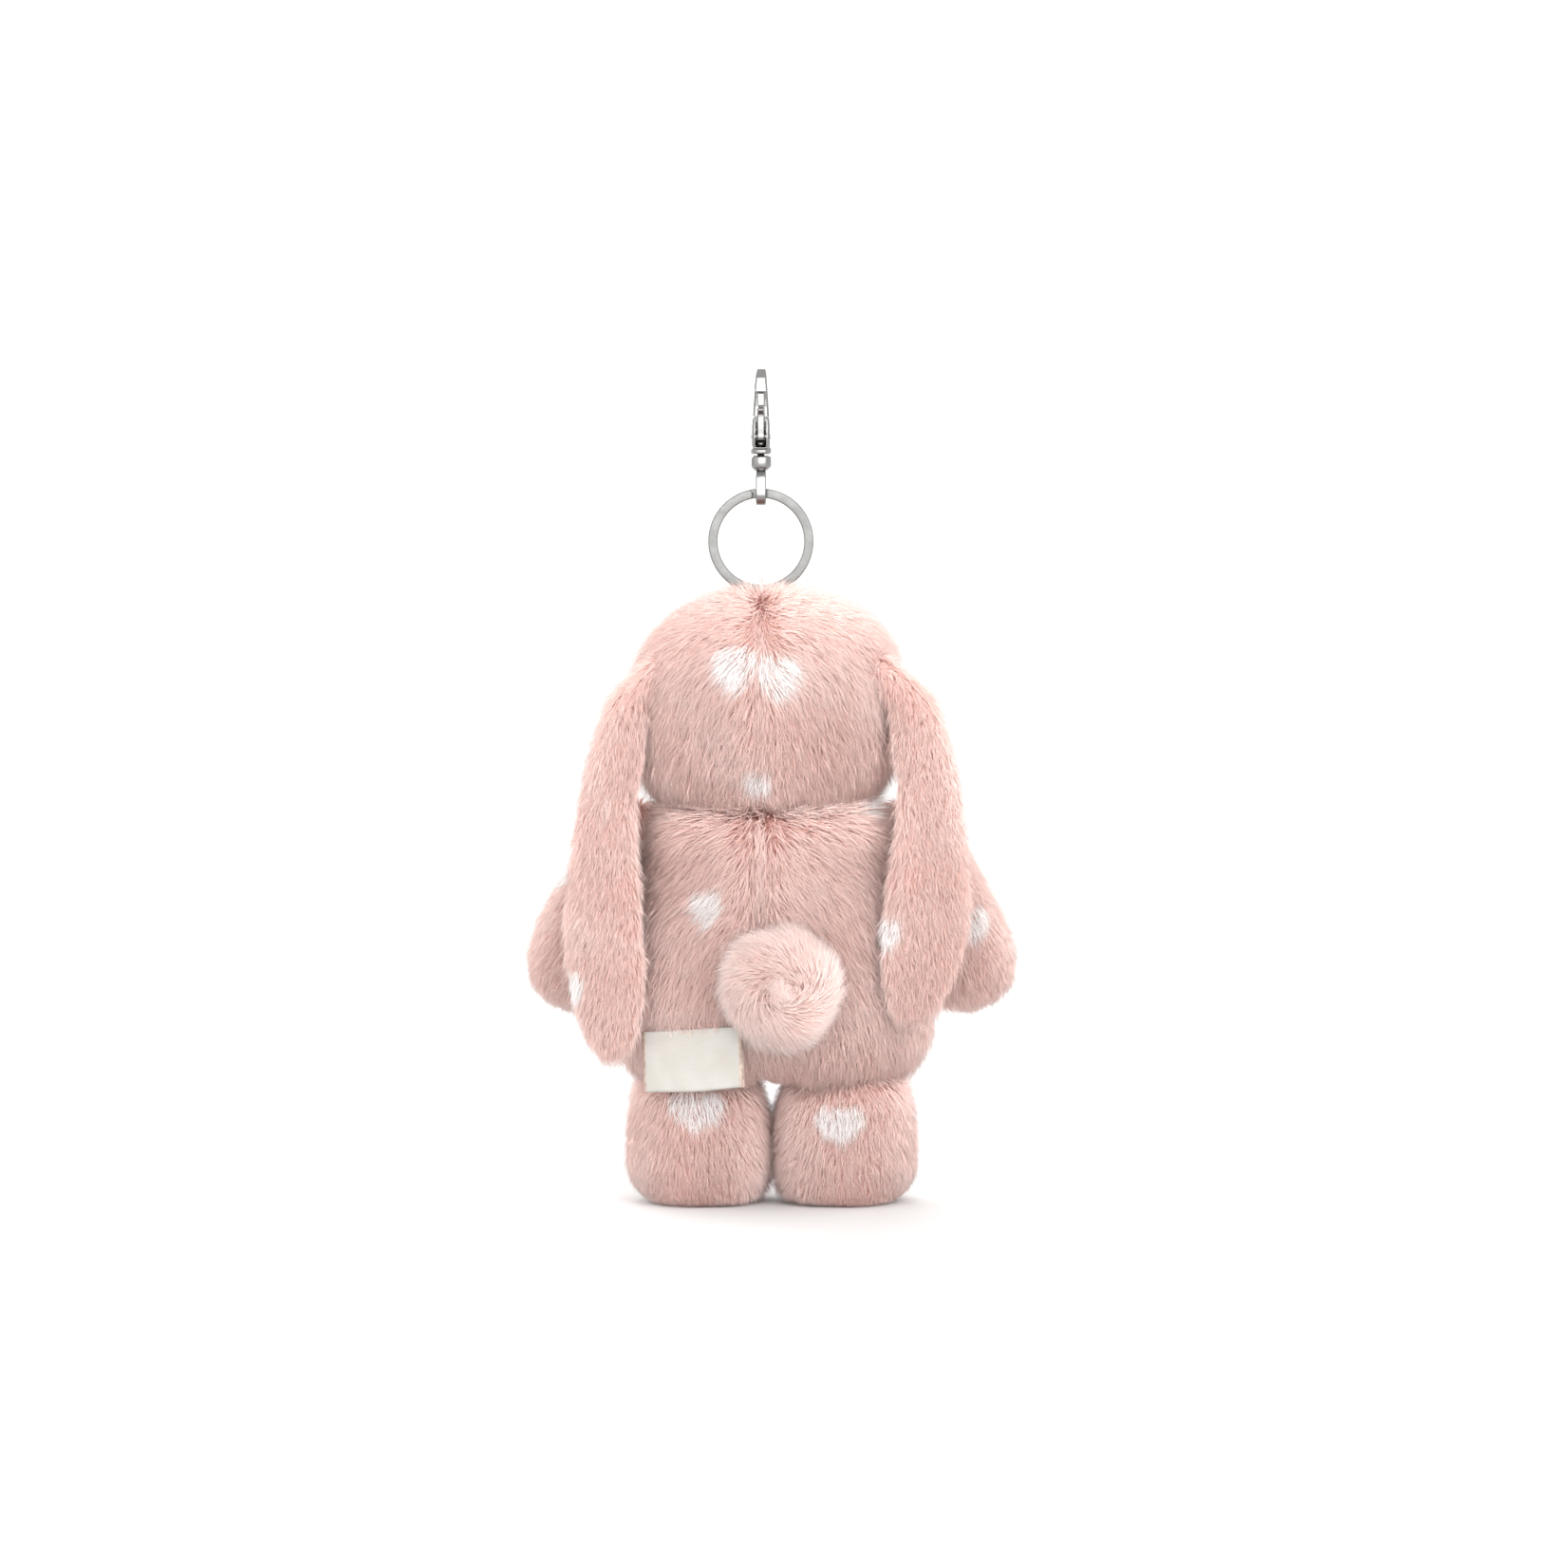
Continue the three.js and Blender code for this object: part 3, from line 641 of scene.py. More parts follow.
head = skin("head_skin", HEAD_NODES)
points = points_of(head.data)
points[:, 0] -= CROWN_SHIFT * smoothstep(points[:, 2], head_middle[2], head_high[2])
move_points(head.data, points)
puffed(head, 0.9, seamed=True)
grooved(head, 1.0)
body = skin("body_skin", BODY_NODES)
puffed(body, 0.9, seamed=True)
grooved(body, 0.8)
limbs = {}
for side in SIDES:
    leg, arm, ear = f"leg_{side}", f"arm_{side}", f"ear_{side}"
    limbs[leg] = skin(f"{leg}_skin", LIMB_NODES[leg])
    limbs[arm] = skin(f"{arm}_skin", LIMB_NODES[arm], 1.2, 10)
    puffed(limbs[arm], 0.7)
    limbs[ear] = skin(f"{ear}_skin", LIMB_NODES[ear], 1.2, 8, hull=False)
    sewn_in(limbs[ear])
tail = skin("tail_skin", ("tail_pompom",), 1.2, 6)

head_tree = tree_of(head.data)


def clear_of_head(points):
    """Which points are outside the head's skin, or less than 1.5 mm under it."""
    clear = np.ones(len(points), bool)
    for place, point in enumerate(points):
        hit, normal, _, _ = head_tree.find_nearest(Vector(point) * MM)
        clear[place] = (Vector(point) * MM - hit).dot(normal) > -1.5 * MM
    return clear


# The hearts on each skin: x, z, width, height, back (1) or front (-1), roll in degrees.
HEARTS = {
    "head_skin": [
        (8.8, 126.1, 11.5, 12.5, 1, -4), (-1.6, 123.9, 11, 12, 1, 6), (4.5, 101, 7, 7.5, 1, 0),
        (18, 108, 9, 10, -1, -8), (-8, 134, 10, 11, -1, 5), (14, 136, 8, 9, -1, 10),
    ],
    "body_skin": [
        (-21.5, 91, 7, 7, 1, 14), (15.2, 69.4, 8.5, 9, 1, -6), (14, 84, 9, 10, -1, 8),
        (-12, 70, 10, 11, -1, -10), (8, 52, 9, 10, -1, 4), (-22, 48, 9, 9, -1, 12),
    ],
    "ear_left_skin": [(47, 50.5, 8, 9, 1, 8), (35, 92, 7, 9, -1, -6)],
    "ear_right_skin": [(-28.1, 63.5, 8, 9, 1, -4), (-38, 84, 9, 10, -1, 8)],
    "arm_left_skin": [(48.6, 76.2, 9, 9, 1, 0), (44, 66, 9, 10, -1, 6)],
    "arm_right_skin": [(-48, 64.6, 9, 9, 1, -8), (-42, 76, 8, 9, -1, -4)],
    "leg_left_skin": [(17.6, 21.2, 14, 10, 1, 0), (22, 18, 10, 10, -1, 8)],
    "leg_right_skin": [(-16.2, 18.4, 12.5, 9, 1, 0), (-14, 22, 9, 9, -1, -6)],
    "tail_skin": [],
}


# ---- Combing ----
# The weights are set against the photograph. Angles are in degrees.
DOWN = np.array([0, 0, -1.0])
SOLE_EDGE = 2.4  # the level where the sole's pile begins


def anywhere(roots, normals):
    return np.ones(len(roots), bool)


def head_flow(roots, normals):
    """Down from the crown and a little away from the back seam; on the face, away from the nose."""
    ways = np.tile(DOWN, (len(roots), 1))
    off = roots[:, 0] - seam_x
    sweep = 0.22 + 0.6 * smoothstep(roots[:, 2], head_middle[2] - 10, head_high[2])
    crown = smoothstep(normals[:, 2], 0.55, 0.95)
    back = 0.2 + 0.8 * smoothstep(roots[:, 1], side_seam_y - 6, side_seam_y + 2)
    ways[:, 0] += np.clip(off / 3, -1, 1) * (sweep + 0.9 * crown) * back
    ways[:, 1] += crown * np.sign(roots[:, 1] - head_middle[1]) * 0.5
    away = roots - nose_middle
    near = np.linalg.norm(away, axis=1, keepdims=True)
    face = smoothstep(-roots[:, 1:2], -side_seam_y, -side_seam_y + 8)
    pull = face * np.exp(-((near / 22) ** 2)) * 2.2
    return ways + unit(away) * pull


def head_stand(roots, normals):
    """More upright round the cord loop."""
    away = np.linalg.norm(roots - [seam_x, ring_middle[1], head_high[2]], axis=1)
    return 34 * np.exp(-((away / 7) ** 2))


def body_flow(roots, normals):
    """Below the neck the pile sweeps outwards from the back seam; lower down it hangs."""
    ways = np.tile(DOWN, (len(roots), 1))
    off = roots[:, 0] - seam_x
    high = smoothstep(roots[:, 2], 50, 84)
    sweep = np.sign(off) * (0.65 * high + 0.12) * smoothstep(np.abs(off), 0, 6)
    ways[:, 0] += sweep * (roots[:, 1] > side_seam_y)
    ways[:, 0] += 0.15 * np.sign(off) * (roots[:, 1] <= side_seam_y)
    return ways


def at_neck(roots):
    return smoothstep(roots[:, 2], body_high[2] - 10, body_high[2] - 2)


def body_stand(roots, normals):
    """Upright at the neck, where the pile closes over the seam."""
    return 28 * at_neck(roots)


def over_gap(roots):
    """How close to the gap between the tops of the legs."""
    across = (roots[:, 0] - gap_x) / 6
    up = (roots[:, 2] - body_low[2]) / 6
    return np.exp(-(across**2) - up**2)


def body_shape(roots, normals, sizes):
    return sizes * (1 + 0.1 * at_neck(roots)) * (1 - 0.6 * over_gap(roots))


def facing_gap(roots, normals, low, high):
    """Which of a leg's roots look across the gap to the other leg."""
    return smoothstep(-normals[:, 0] * np.sign(roots[:, 0] - gap_x), low, high)


def leg_stand(roots, normals):
    """Fluffed up between the legs."""
    return 26 * facing_gap(roots, normals, 0.3, 0.9)


def leg_flow(roots, normals):
    """Down the leg, and outwards under the sole."""
    outward = roots - roots.mean(axis=0) * [1, 1, 0]
    return np.where(roots[:, 2:3] < 1.5, outward, DOWN)


def limb_flow(names):
    """Down the limb's own length."""
    points = np.concatenate([points_of(nodes[name].data) for name in names])
    top = points[points[:, 2] > points[:, 2].max() - 6].mean(axis=0)
    end = points[points[:, 2] < points[:, 2].min() + 6].mean(axis=0)
    way = unit(end - top)
    return lambda roots, normals: np.tile(way, (len(roots), 1))


def tail_flow(roots, normals):
    """A loose whorl, lightly ruffled: into the middle of the tail's back, and outwards at its rim."""
    away = (roots - tail_middle) * [1, 0, 1] / tail_wide
    far = np.linalg.norm(away, axis=1, keepdims=True)
    spin = np.cross(np.array([0, 1.0, 0]), unit(away))
    ruffle = np.stack([waves(roots, 71 + axis, 7) for axis in range(3)], axis=1)
    return unit(away) * (far - 0.5) * 1.5 + spin * 0.8 * smoothstep(far, 0.1, 0.5) + ruffle * 0.4


def tail_shape(roots, normals, sizes):
    return sizes * (1 + 0.24 * waves(roots, 81, 7))


def head_shape(roots, normals, sizes):
    """None at the eyes, nose and mouth, and short round them and on the crown."""
    short = np.ones(len(roots))
    for place, clear in bare:
        away = np.linalg.norm(roots - place, axis=1)
        grown = 0.45 + 0.55 * smoothstep(away, clear, clear + 7)
        short = np.minimum(short, np.where(away > clear, grown, 0))
    return sizes * short * (1 - 0.3 * smoothstep(normals[:, 2], 0.3, 0.9))


def sole_shape(roots, normals, sizes):
    """The pile under a foot is trodden flat, and short round its edge."""
    low = 1 - smoothstep(roots[:, 2], 1, 13)
    flat = 0.68 * low * (1 - 0.7 * facing_gap(roots, normals, 0.2, 0.8))
    return sizes * (1 - flat) * (1 - 0.6 * over_gap(roots))


def grow(piece, body_name, parts, seed, flow, **settings):
    """The pile of one skin, as one piece for each part: name: (its CAD node, which roots, slot)."""
    skin_tree = tree_of(piece.data)
    hairs, normals = comb(piece.data, seed, flow, **settings)
    hairs[..., 2] = np.maximum(hairs[..., 2], PILE_FLOOR)
    if body_name == "plush":
        hairs = tuck_under_tag(hairs)
    tones = toned(hairs, seed + 11, [heart_patch(skin_tree, *heart) for heart in HEARTS[piece.name]])
    roots = hairs[:, 0]
    left_over = anywhere(roots, normals)
    for name, (stands_for, where, slot) in parts.items():
        chosen = left_over & where(roots, normals)
        left_over &= ~chosen
        mesh = hair_mesh(name, hairs[chosen], normals[chosen], tones[chosen])
        add(name, mesh, body_name, [pink_pile if slot == "fur" else pale_pile], (stands_for,))


def trunk_parts(what, back_left, back_right, front, level):
    """Eight pieces: left and right of the back seam, behind and before the side seams, and above and
    below a level."""
    parts = {}
    for side, face, tier in itertools.product(SIDES, ("back", "front"), ("upper", "lower")):
        def where(roots, normals, wanted=(side == "left", face == "back", tier == "upper")):
            return ((roots > (seam_x, side_seam_y, level)) == wanted).all(axis=1)

        cloth = front if face == "front" else back_left if side == "left" else back_right
        parts[f"{what}_pile_{face}_{side}_{tier}"] = (cloth, where, "fur")
    return parts


mouth_low, mouth_high = box_mm("mouth_stitching")
mouth_x = (mouth_low[0] + mouth_high[0]) / 2
mouth_wide = (mouth_high[0] - mouth_low[0]) / 2 - 0.3


def mouth_point(share):
    """A point of the mouth's line, from -1 at the rabbit's right to 1, and the skin's normal there."""
    curl = 1.3 * abs(math.cos(math.pi * abs(share) * 0.92)) ** 1.5
    z = mouth_low[2] + 0.4 + curl + 1.5 * math.exp(-((share / 0.12) ** 2))
    start = Vector((mouth_x + share * mouth_wide, -200, z)) * MM
    hit, normal, _, _ = head_tree.ray_cast(start, Vector((0, 1, 0)))
    return np.array(hit) / MM, np.array(normal)


EYE_BARE, MOUTH_BARE = 3.1, 0.95
NOSE_BARE = ((-1.9, 1.6), (0, 2.0), (1.9, 1.6))  # how far along the nose, and how far round that
bare = [(place, EYE_BARE) for place in eye_middles]
bare += [(nose_middle + [across, 0.9, 0.2], radius) for across, radius in NOSE_BARE]
bare += [(mouth_point(share)[0], MOUTH_BARE) for share in np.linspace(-1, 1, 13)]
grow(head, "plush", trunk_parts("head", *HEAD_NODES, head_middle[2]), 101, head_flow,
     shape=head_shape, stand=head_stand)
grow(body, "plush", trunk_parts("body", *BODY_NODES, body_middle[2]), 202, body_flow,
     shape=body_shape, stand=body_stand)
for place, side in enumerate(SIDES):
    leg, arm, ear = f"leg_{side}", f"arm_{side}", f"ear_{side}"
    upper, sole = LIMB_NODES[leg]
    foot = {
        f"{leg}_pile_back": (upper, lambda r, n: (r[:, 2] > SOLE_EDGE) & (r[:, 1] > 0), "fur"),
        f"{leg}_pile_front": (upper, lambda r, n: r[:, 2] > SOLE_EDGE, "fur"),
        f"sole_{side}_pile": (sole, anywhere, "fur"),
    }
    grow(limbs[leg], "plush", foot, 303 + place, leg_flow,
         length=6, lift=(34, 10), shape=sole_shape, stand=leg_stand)

    back, front = LIMB_NODES[arm]
    sleeve = {
        f"{arm}_pile_back": (back, lambda r, n: n[:, 1] > 0, "fur"),
        f"{arm}_pile_front": (front, anywhere, "fur"),
    }
    grow(limbs[arm], arm, sleeve, 404 + place, limb_flow(LIMB_NODES[arm]), length=5.8)

    outer, inner = LIMB_NODES[ear]
    facing = unit(points_of(nodes[outer].data).mean(axis=0) - points_of(nodes[inner].data).mean(axis=0))
    lop = {
        f"{ear}_pile": (outer, lambda r, n, way=facing: n @ way > -0.15, "fur"),
        f"{ear}_lining": (inner, anywhere, "ear_lining"),
    }

    def ear_shape(roots, normals, sizes, way=facing):
        """Short on the lining, and none where the ear is sewn into the head."""
        lining = smoothstep(-(normals @ way), 0.1, 0.5)
        return sizes * (1 - 0.55 * lining) * clear_of_head(roots)

    grow(limbs[ear], ear, lop, 505 + place, limb_flow(LIMB_NODES[ear]), length=5.8, shape=ear_shape)
grow(tail, "plush", {"tail_pile": ("tail_pompom", anywhere, "pale_fur")}, 606, tail_flow,
     density=14, length=6.6, lift=(50, 24), clump=0.1, shape=tail_shape)

dressed(head, pink_cloth, "plush", HEAD_NODES)
dressed(body, pink_cloth, "plush", BODY_NODES)
for side in SIDES:
    leg, arm, ear = f"leg_{side}", f"arm_{side}", f"ear_{side}"
    dressed(limbs[leg], pink_cloth, "plush", LIMB_NODES[leg])
    dressed(limbs[arm], pink_cloth, arm, LIMB_NODES[arm])
    dressed(limbs[ear], pale_cloth, ear, LIMB_NODES[ear])
dressed(tail, pale_cloth, "plush", ("tail_pompom",))


# ---- Filling ----
def lumpy(what, body_name, seed):
    """A carded wad of fibre in place of a plain core."""
    piece = skin(f"{what}_wadding", (f"{what}_stuffing",), 2, 3, hull=False)
    points = points_of(piece.data)
    lumps = waves(points, seed, 6) + 0.6 * waves(points, seed + 1, 3)
    move_points(piece.data, points - normals_of(piece.data) * (0.35 + 0.3 * lumps)[:, None])
    dressed(piece, filling, body_name, (f"{what}_stuffing",))


lumpy("head", "plush", 11)
lumpy("body", "plush", 12)
for place, side in enumerate(SIDES):
    lumpy(f"leg_{side}", "plush", 13 + place)
    lumpy(f"arm_{side}", f"arm_{side}", 15 + place)


# ---- Turned, wound and threaded pieces ----
def tube(name, centres, sections, closed):
    """A mesh through rings of points: centres (n, 3) and sections (n, k, 3) measured from them."""
    rings, sides = sections.shape[:2]
    points = (centres[:, None] + sections).reshape(-1, 3)
    here = np.arange(rings * sides).reshape(rings, sides)
    after = np.roll(here, -1, axis=0)
    faces = np.stack([here, np.roll(here, -1, axis=1), np.roll(after, -1, axis=1), after], axis=-1)
    faces = faces[:rings if closed else rings - 1].reshape(-1, 4).tolist()
    if not closed:
        faces += [here[0, ::-1].tolist(), here[-1].tolist()]
    mesh = bpy.data.meshes.new(name)
    mesh.from_pydata(points * MM, [], faces)
    outwards(mesh)
    return mesh


def outwards(mesh):
    """Turns the faces out and shades the mesh smooth."""
    work = bmesh.new()
    work.from_mesh(mesh)
    bmesh.ops.recalc_face_normals(work, faces=work.faces)
    work.to_mesh(mesh)
    work.free()
    mesh.shade_smooth()


def carried_frames(path, closed):
    """Two directions across a path, carried along it without twist."""
    ahead = np.roll(path, -1, axis=0) - np.roll(path, 1, axis=0)
    if not closed:
        ahead[0], ahead[-1] = path[1] - path[0], path[-1] - path[-2]
    ahead = unit(ahead)
    first = np.cross(ahead[0], [0.31, 0.87, 0.38])
    across = [unit(first)]
    for way in ahead[1:]:
        across.append(unit(across[-1] - (across[-1] @ way) * way))
    across = np.array(across)
    return across, np.cross(ahead, across)


def round_tube(name, path, radius, closed, sides=7):
    across, up = carried_frames(path, closed)
    turns = (np.arange(sides) * 2 * math.pi / sides)[:, None]
    section = across[:, None] * np.cos(turns) + up[:, None] * np.sin(turns)
    return tube(name, path, section * radius, closed)


def resampled(path, count, closed=False):
    """Points at even spacing along a path."""
    points = np.vstack([path, path[:1]]) if closed else path
    run = np.concatenate([[0], np.cumsum(np.linalg.norm(np.diff(points, axis=0), axis=1))])
    wanted = np.linspace(0, run[-1], count, endpoint=not closed)
    return np.stack([np.interp(wanted, run, points[:, axis]) for axis in range(3)], axis=1), run[-1]


def bar_outline(wide, thick, corner):
    """The outline of a bar with rounded corners. wide and thick are half its sizes."""
    outline = []
    for sign_u, sign_v, start in ((1, 1, 0), (-1, 1, 90), (-1, -1, 180), (1, -1, 270)):
        for bit in range(5):
            turn = math.radians(start + bit * 22.5)
            outline.append((sign_u * (wide - corner) + corner * math.cos(turn),
                            sign_v * (thick - corner) + corner * math.sin(turn)))
    return np.array(outline)


def long_loop(middle, radius, low, high, count, crown=1.0):
    """A closed upright loop across X: a half turn at the level high, over one at the level low."""
    turn = np.linspace(0, math.pi, count)
    flat, y, z = turn * 0, radius * np.cos(turn), radius * np.sin(turn)
    loop = np.concatenate([np.stack([flat, y, high + crown * z], 1), np.stack([flat, -y, low - z], 1)])
    return loop + middle


def twisted(name, path, radius, plies, lay, steps, closed=False):
    """A thread of several plies laid round each other. radius is the whole thread's, and lay the length
    of one turn."""
    path, length = resampled(path, steps, closed)
    across, up = carried_frames(path, closed)
    ply = radius / (1 + 1 / math.sin(math.pi / plies))
    turns = max(1, round(length / lay))
    share = np.arange(steps) / (steps if closed else steps - 1)
    # What the carried frame misses by at the end of a closed path is wound out over its length.
    slip = 0.0
    if closed:
        ahead = unit(path[0] - path[-1])
        carried = unit(across[-1] - (across[-1] @ ahead) * ahead)
        slip = math.atan2(carried @ up[0], carried @ across[0])
    meshes = []
    for each in range(plies):
        angle = 2 * math.pi * (turns * share + each / plies) - slip * share
        offset = across * np.cos(angle)[:, None] + up * np.sin(angle)[:, None]
        meshes.append(round_tube(name, path + offset * (radius - ply), ply, closed))
    return merged(name, meshes)


# ---- Cord loop, neck stitch ----
CORD_R = 0.425
loop_low, loop_high = box_mm("hang_loop")
loop_r = (loop_high[1] - loop_low[1]) / 2 - CORD_R
loop_middle = (ring_middle[0], (loop_high[1] + loop_low[1]) / 2, 0)
ends = (loop_low[2] + CORD_R + loop_r, loop_high[2] - CORD_R - loop_r)
loop_path = long_loop(loop_middle, loop_r, *ends, 40)
loop_mesh = twisted("hanging_cord", loop_path, CORD_R, 3, 2.2, 240, closed=True)
add("hanging_cord", loop_mesh, "plush", [cord_thread], ("hang_loop",))

neck_low, neck_high = box_mm("neck_thread")
neck_middle, neck_half = (neck_low + neck_high) / 2, (neck_high - neck_low) / 2
round_turn = np.linspace(0, 2 * math.pi, 240, endpoint=False)
neck_path = np.stack([
    neck_middle[0] + (neck_half[0] - 0.5) * np.cos(round_turn),
    neck_middle[1] + (neck_half[1] - 0.5) * np.sin(round_turn),
    neck_middle[2] + 0.25 * np.sin(round_turn * 34),
], axis=1)
neck_mesh = twisted("neck_closing_stitch", neck_path, 0.42, 2, 1.6, 900, closed=True)
add("neck_closing_stitch", neck_mesh, "plush", [cord_thread], ("neck_thread",))


# ---- Face ----
EYE_TURN = math.radians(24)  # how far each eye looks to its side
EYE_RISE, EYE_EDGE = 2.64, 0.25  # a bead's height, and that of its widest place


def turned_profile(name, profile, centre, axis, sides=48):
    """A closed lathe of (radius, distance) pairs about an axis."""
    axis = unit(np.asarray(axis, float))
    across = unit(np.cross(axis, [0.1, 0.2, 1.0]))
    up = np.cross(axis, across)
    angles = np.arange(sides) * 2 * math.pi / sides
    spokes = across * np.cos(angles)[:, None] + up * np.sin(angles)[:, None]
    centres = np.array([centre + axis * along_axis for _, along_axis in profile])
    sections = np.array([spokes * max(radius, 0.01) for radius, _ in profile])
    return tube(name, centres, sections, False)


bead_profile = [(0, -7.4), (0.85, -7.4), (1, -7.2), (1, -0.02), (2.8, -0.02), (2.95, 0.08)]
for t in np.linspace(0, math.pi / 2, 18):
    bead_profile.append((3 * math.cos(t), EYE_EDGE + (EYE_RISE - EYE_EDGE) * math.sin(t)))
for side, sign in zip(SIDES, (1, -1)):
    way = np.array([sign * math.sin(EYE_TURN), -math.cos(EYE_TURN), 0])
    points = points_of(nodes[f"eye_{side}"].data)
    base = points[np.argmax(points @ way)] - way * EYE_RISE
    bead_mesh = turned_profile(f"bead_{side}", bead_profile, base, way)
    add(f"bead_{side}", bead_mesh, "plush", [bead], (f"eye_{side}",))
    refinished(f"eye_washer_{side}", washer_plastic, "BEVEL", width=0.12 * MM, segments=3)

nose_low, nose_high = box_mm("nose_stitching")
nose_half = (nose_high - nose_low) / 2
stitches = []
STITCHES = 15
for index in range(STITCHES):
    share = (index + 0.5) / STITCHES * 2 - 1
    x = nose_middle[0] + share * (nose_half[0] - 0.3)
    tall = nose_half[2] * math.sqrt(1 - share * share * 0.94)
    top, low = 0.92 * tall * (1 - 0.25 * abs(share)), -tall * (1 - 0.45 * abs(share))
    arc = []
    for t in np.linspace(-0.16, 1.16, 14):
        z = nose_middle[2] + low + (top - low) * t
        lift = math.sin(math.pi * min(max(t, 0), 1)) * nose_half[1] * math.sqrt(1 - share * share * 0.8)
        sink = 6 * max(0, -t, t - 1)
        arc.append((x, nose_middle[1] + 0.5 - lift + sink, z))
    stitches.append(twisted("nose_thread", np.array(arc), 0.27, 2, 1.4, 26))
add("nose_floss", merged("nose_floss", stitches), "plush", [floss], ("nose_stitching",))

MOUTH_RISE = 1.1  # of the thread's middle over the skin
mouth_path = [place + normal * MOUTH_RISE for place, normal in map(mouth_point, np.linspace(-1, 1, 41))]
mouth_mesh = twisted("mouth_floss", np.array(mouth_path), 0.5, 3, 2.0, 110)
add("mouth_floss", mouth_mesh, "plush", [floss], ("mouth_stitching",))


# ---- Label ----
# A ribbon folded at its lower edge. Its ends run into the pile above.
ACROSS, DOWNWARDS = 36, 70  # faces
fold_r = TAG_FOLD * 0.87
straight = TAG_HEIGHT - 0.75
total = 2 * straight + math.pi * fold_r
run = np.linspace(0, total, DOWNWARDS + 1)[:, None]
turn = np.clip((run - straight) / fold_r, 0, math.pi)
w = np.minimum(np.minimum(run, total - run), straight) + fold_r * np.sin(turn)
u = np.linspace(-0.5, 0.5, ACROSS + 1) * tag_wide
hang = w / TAG_HEIGHT
curl = 0.35 * hang * np.sin(u * 0.21 + 0.6) + 0.12 * np.sin(u * 0.9 + w * 0.5) * hang
sag = 0.25 * hang * np.cos(u * 0.25)
outward = fold_r * np.cos(turn) + curl
points = sum(np.multiply.outer(amount, way) for amount, way in (
    (u + 0 * w, tag_x), (w - 0.4 + sag, tag_down), (outward, tag_out)))
corners = np.arange((DOWNWARDS + 1) * (ACROSS + 1)).reshape(DOWNWARDS + 1, ACROSS + 1)
faces = np.stack([corners[:-1, :-1], corners[:-1, 1:], corners[1:, 1:], corners[1:, :-1]], axis=-1)
mesh = bpy.data.meshes.new("woven_label")
mesh.from_pydata((points + tag_pivot).reshape(-1, 3) * MM, [], faces.reshape(-1, 4).tolist())
# The faces at the label's two side edges take the painted edge shade.
at_edge = np.isin(np.arange(DOWNWARDS * ACROSS) % ACROSS, (0, ACROSS - 1))
mesh.polygons.foreach_set("material_index", at_edge.astype(np.int32))
piece = add("woven_label", mesh, None, [satin, painted_edge_shade])
settle(piece, "SOLIDIFY", thickness=TAG_PLY * MM, offset=0.0)
outwards(piece.data)
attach(piece, "tag")
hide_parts("fabric_tag")


# ---- Split ring ----
BAND, STRIP, CORNER = 2.2, 0.85, 0.3  # the flat strip's width, thickness and rounding
PITCH = 0.91  # from turn to turn
SPLIT = 0.17  # radians over which the strip crosses from one turn to the other
ALONG = np.array([0, 1.0, 0])
wire_r = (ring_high[0] - ring_low[0]) / 2 - BAND / 2
STEPS = 420
turns = np.linspace(-(2 * math.pi - SPLIT), 2 * math.pi - SPLIT, STEPS)
layer = np.clip(turns / SPLIT, -1, 1)
layer = layer * (1.5 - 0.5 * layer**2)
outward = np.stack([-np.sin(turns), np.zeros(STEPS), np.cos(turns)], axis=1)
centres = ring_middle + outward * wire_r + ALONG * (layer * PITCH / 2)[:, None]
section = bar_outline(BAND / 2, STRIP / 2, CORNER)
# The strip's two ends are rounded off over their last 0.9 mm.
gone = np.minimum(turns - turns[0], turns[-1] - turns) * wire_r
squeeze = np.sqrt(np.clip(1 - (1 - np.clip(gone / 0.9, 0, 1)) ** 2, 0.08, 1))[:, None]
sections = outward[:, None] * (section[:, 0] * squeeze)[:, :, None] + ALONG * section[:, 1, None]
ring_mesh = tube("wound_ring", centres, sections, False)
add("wound_ring", ring_mesh, "ring", [strip_nickel], ("split_ring",))


# ---- Snap hook ----
hook = skin("hook_casting", ("snap_hook_body",), 0.12, 12, hull=False)
dressed(hook, cast_nickel, "hook", ("snap_hook_body",))
gate = skin("gate_pressing", ("gate_lever",), 0.1, 8, hull=False)
dressed(gate, cast_nickel, "gate", ("gate_lever",))
refinished("gate_spring", cast_nickel, "SUBSURF", render_levels=2)
refinished("gate_pin", cast_nickel, "BEVEL", width=0.08 * MM, segments=3)

# The swivel: a headed stem and barrel turned in one, over an eye bent from a flat bar.
swivel_low, swivel_high = box_mm("swivel_eye")
STEM_TOP = 2.8
swivel_at = (swivel_low + swivel_high) / 2
swivel_at[2] = swivel_high[2] - STEM_TOP
barrel = [
    (0, -4.3), (1.0, -4.2), (1.7, -3.7), (2.3, -3.1), (2.45, -2.8), (2.45, -0.95), (2.35, -0.6),
    (2.05, -0.42), (0.95, -0.4), (0.85, -0.3), (0.85, 2.0), (0.95, 2.1), (1.35, 2.12), (1.45, 2.25),
    (1.45, 2.65), (1.3, STEM_TOP), (0, STEM_TOP),
]
spindle = turned_profile("spindle", barrel, swivel_at, (0, 0, 1))
EYE_R, EYE_LOW, EYE_HIGH = 2.3, -9.35, -6.4  # measured from the middle of the stem's foot
EYE_BAR_WIDE, EYE_BAR_THICK = 2.46, 0.96
eye_path = long_loop(swivel_at, EYE_R, EYE_LOW, EYE_HIGH, 30, 0.95)
eye_path = resampled(eye_path, 160, closed=True)[0]
ahead = unit(np.roll(eye_path, -1, axis=0) - np.roll(eye_path, 1, axis=0))
side_way = np.array([1.0, 0, 0])
eye_out = np.cross(ahead, side_way)
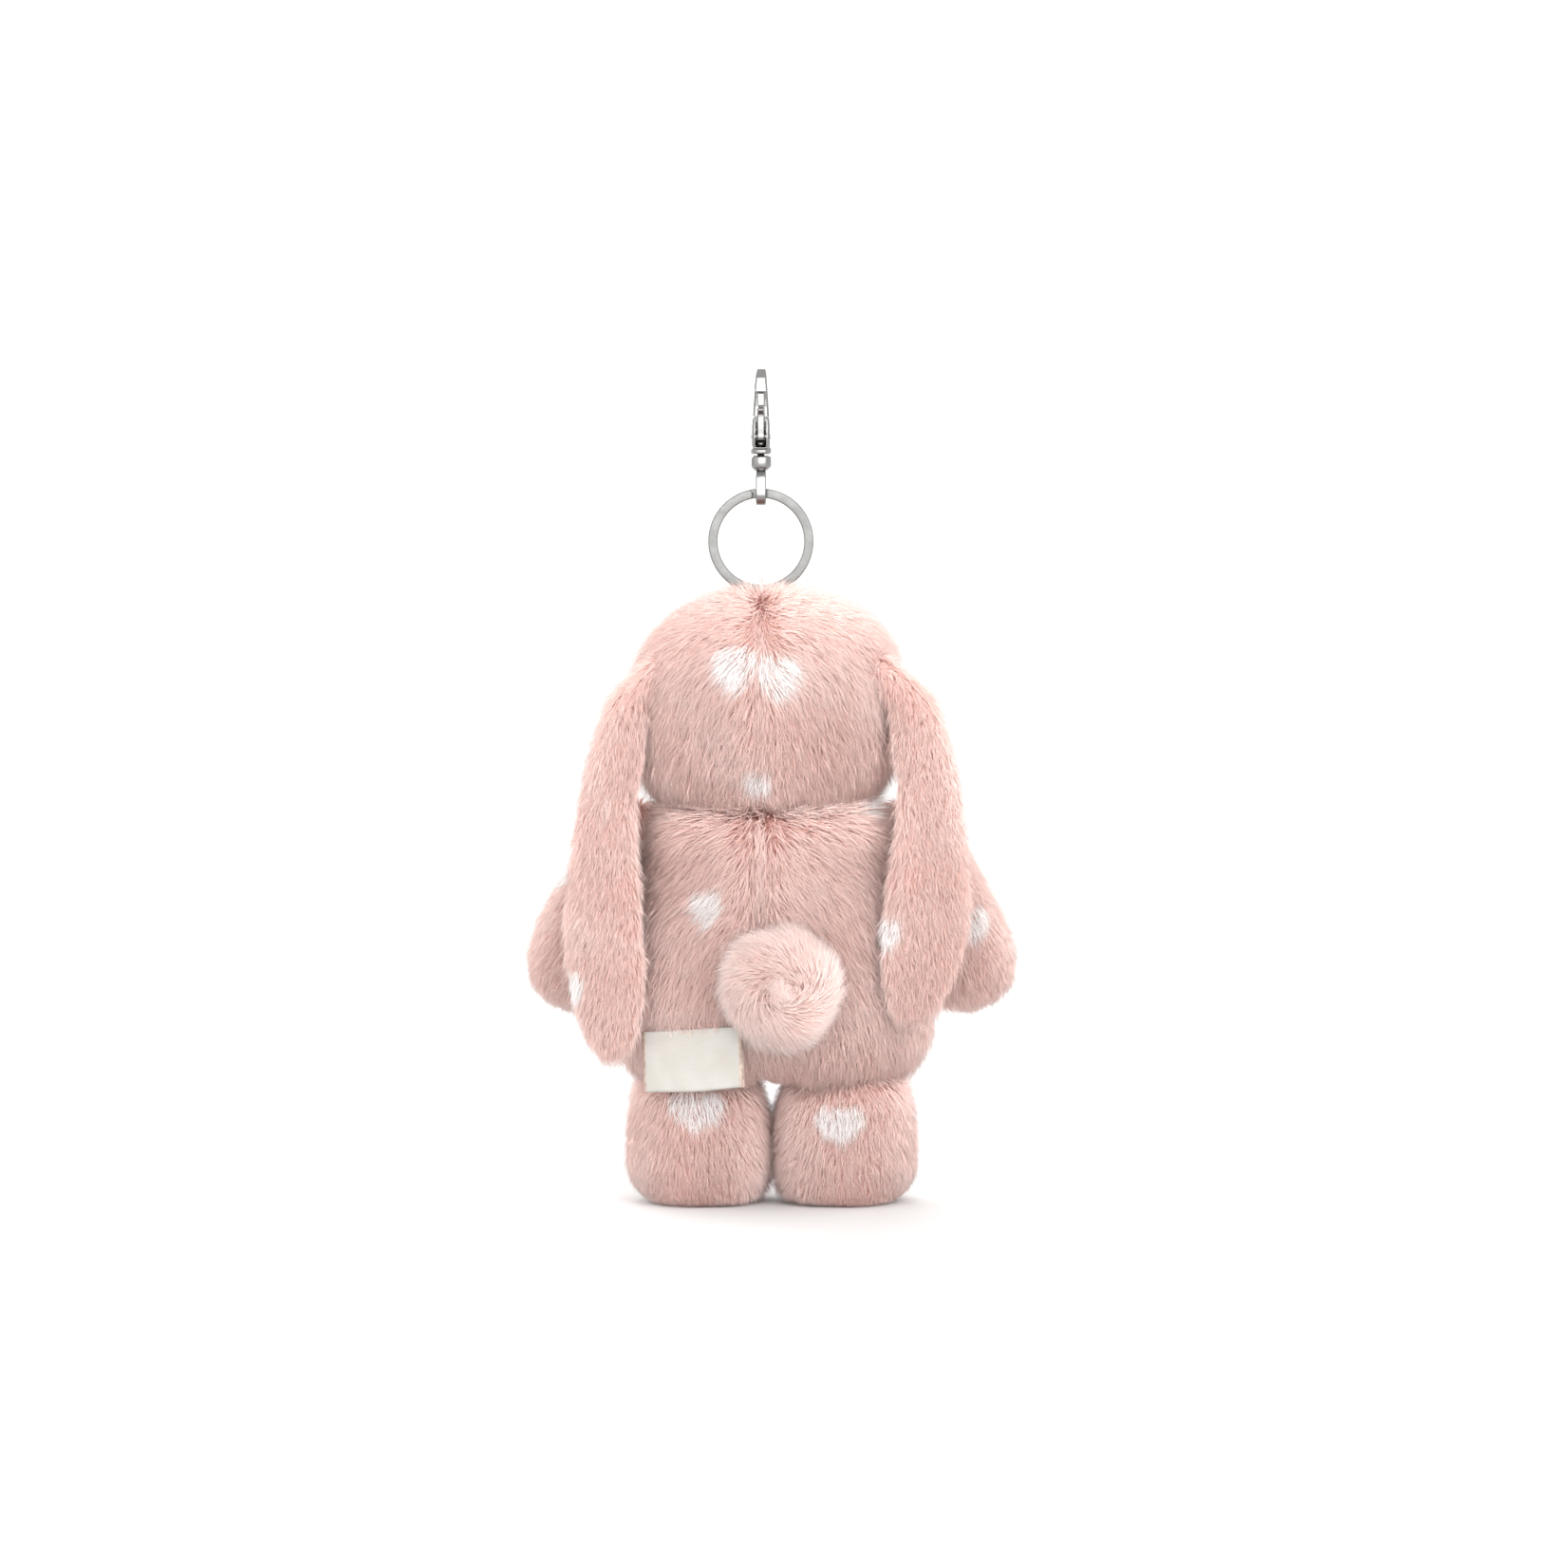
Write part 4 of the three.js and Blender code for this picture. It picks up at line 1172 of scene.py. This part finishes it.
bar = bar_outline(EYE_BAR_WIDE / 2, EYE_BAR_THICK / 2, 0.4)
bar_section = side_way * bar[:, 0, None] + eye_out[:, None] * bar[:, 1, None]
swivel_mesh = merged("swivel_forging", [spindle, tube("eye", eye_path, bar_section, True)])
add("swivel_forging", swivel_mesh, "swivel", [cast_nickel], ("swivel_eye",))


# ---- Floor, light and camera ----
FLOOR_REACH, FLOOR_ALBEDO = 0.75, 0.71
corners = [(x * FLOOR_REACH, y * FLOOR_REACH, 0) for x, y in ((-1, -1), (1, -1), (1, 1), (-1, 1))]
floor_mesh = bpy.data.meshes.new("floor")
floor_mesh.from_pydata(corners, [], [(0, 1, 2, 3)])
floor_paint = material("pale_floor", (*[FLOOR_ALBEDO] * 3, 1.0), 0.9, specular=0.0)
add("floor", floor_mesh, None, [floor_paint])

# Suns, each a patch of sky: the way it lies in, how many degrees it is across, and its strength.
SUNS = (
    ("key", (-0.25, 1.0, 0.1), 80, 5.3),
    ("fill", (0.8, 0.9, 0.15), 70, 0.6),
    ("front", (0.3, -0.9, 0.3), 60, 3.8),
)
for name, way, across, strength in SUNS:
    sun = bpy.data.lights.new(name, "SUN")
    sun.angle, sun.energy = math.radians(across), strength
    holder = add(name, sun, None)
    holder.rotation_euler = Vector(way).to_track_quat("Z", "Y").to_euler()

world = bpy.data.worlds.new("studio")
bpy.context.scene.world = world
world.use_nodes = True
sky = world.node_tree.nodes["Background"]
sky.inputs["Color"].default_value = (1, 0.98, 0.965, 1)
sky.inputs["Strength"].default_value = 1.16
bpy.context.scene.view_settings.view_transform = "Standard"

# The camera looks at the back, from 1.6 m away and 3 degrees up.
AIM, FAR, RISE = Vector((-0.0029, 0, 0.1004)), 1.6, math.radians(3)
camera = add("camera", bpy.data.cameras.new("camera"), None)
camera.data.sensor_width, camera.data.lens = 36, 154.8
camera.location = AIM + Vector((0, FAR * math.cos(RISE), FAR * math.sin(RISE)))
camera.rotation_euler = (AIM - camera.location).to_track_quat("-Z", "Y").to_euler()
bpy.context.scene.camera = camera
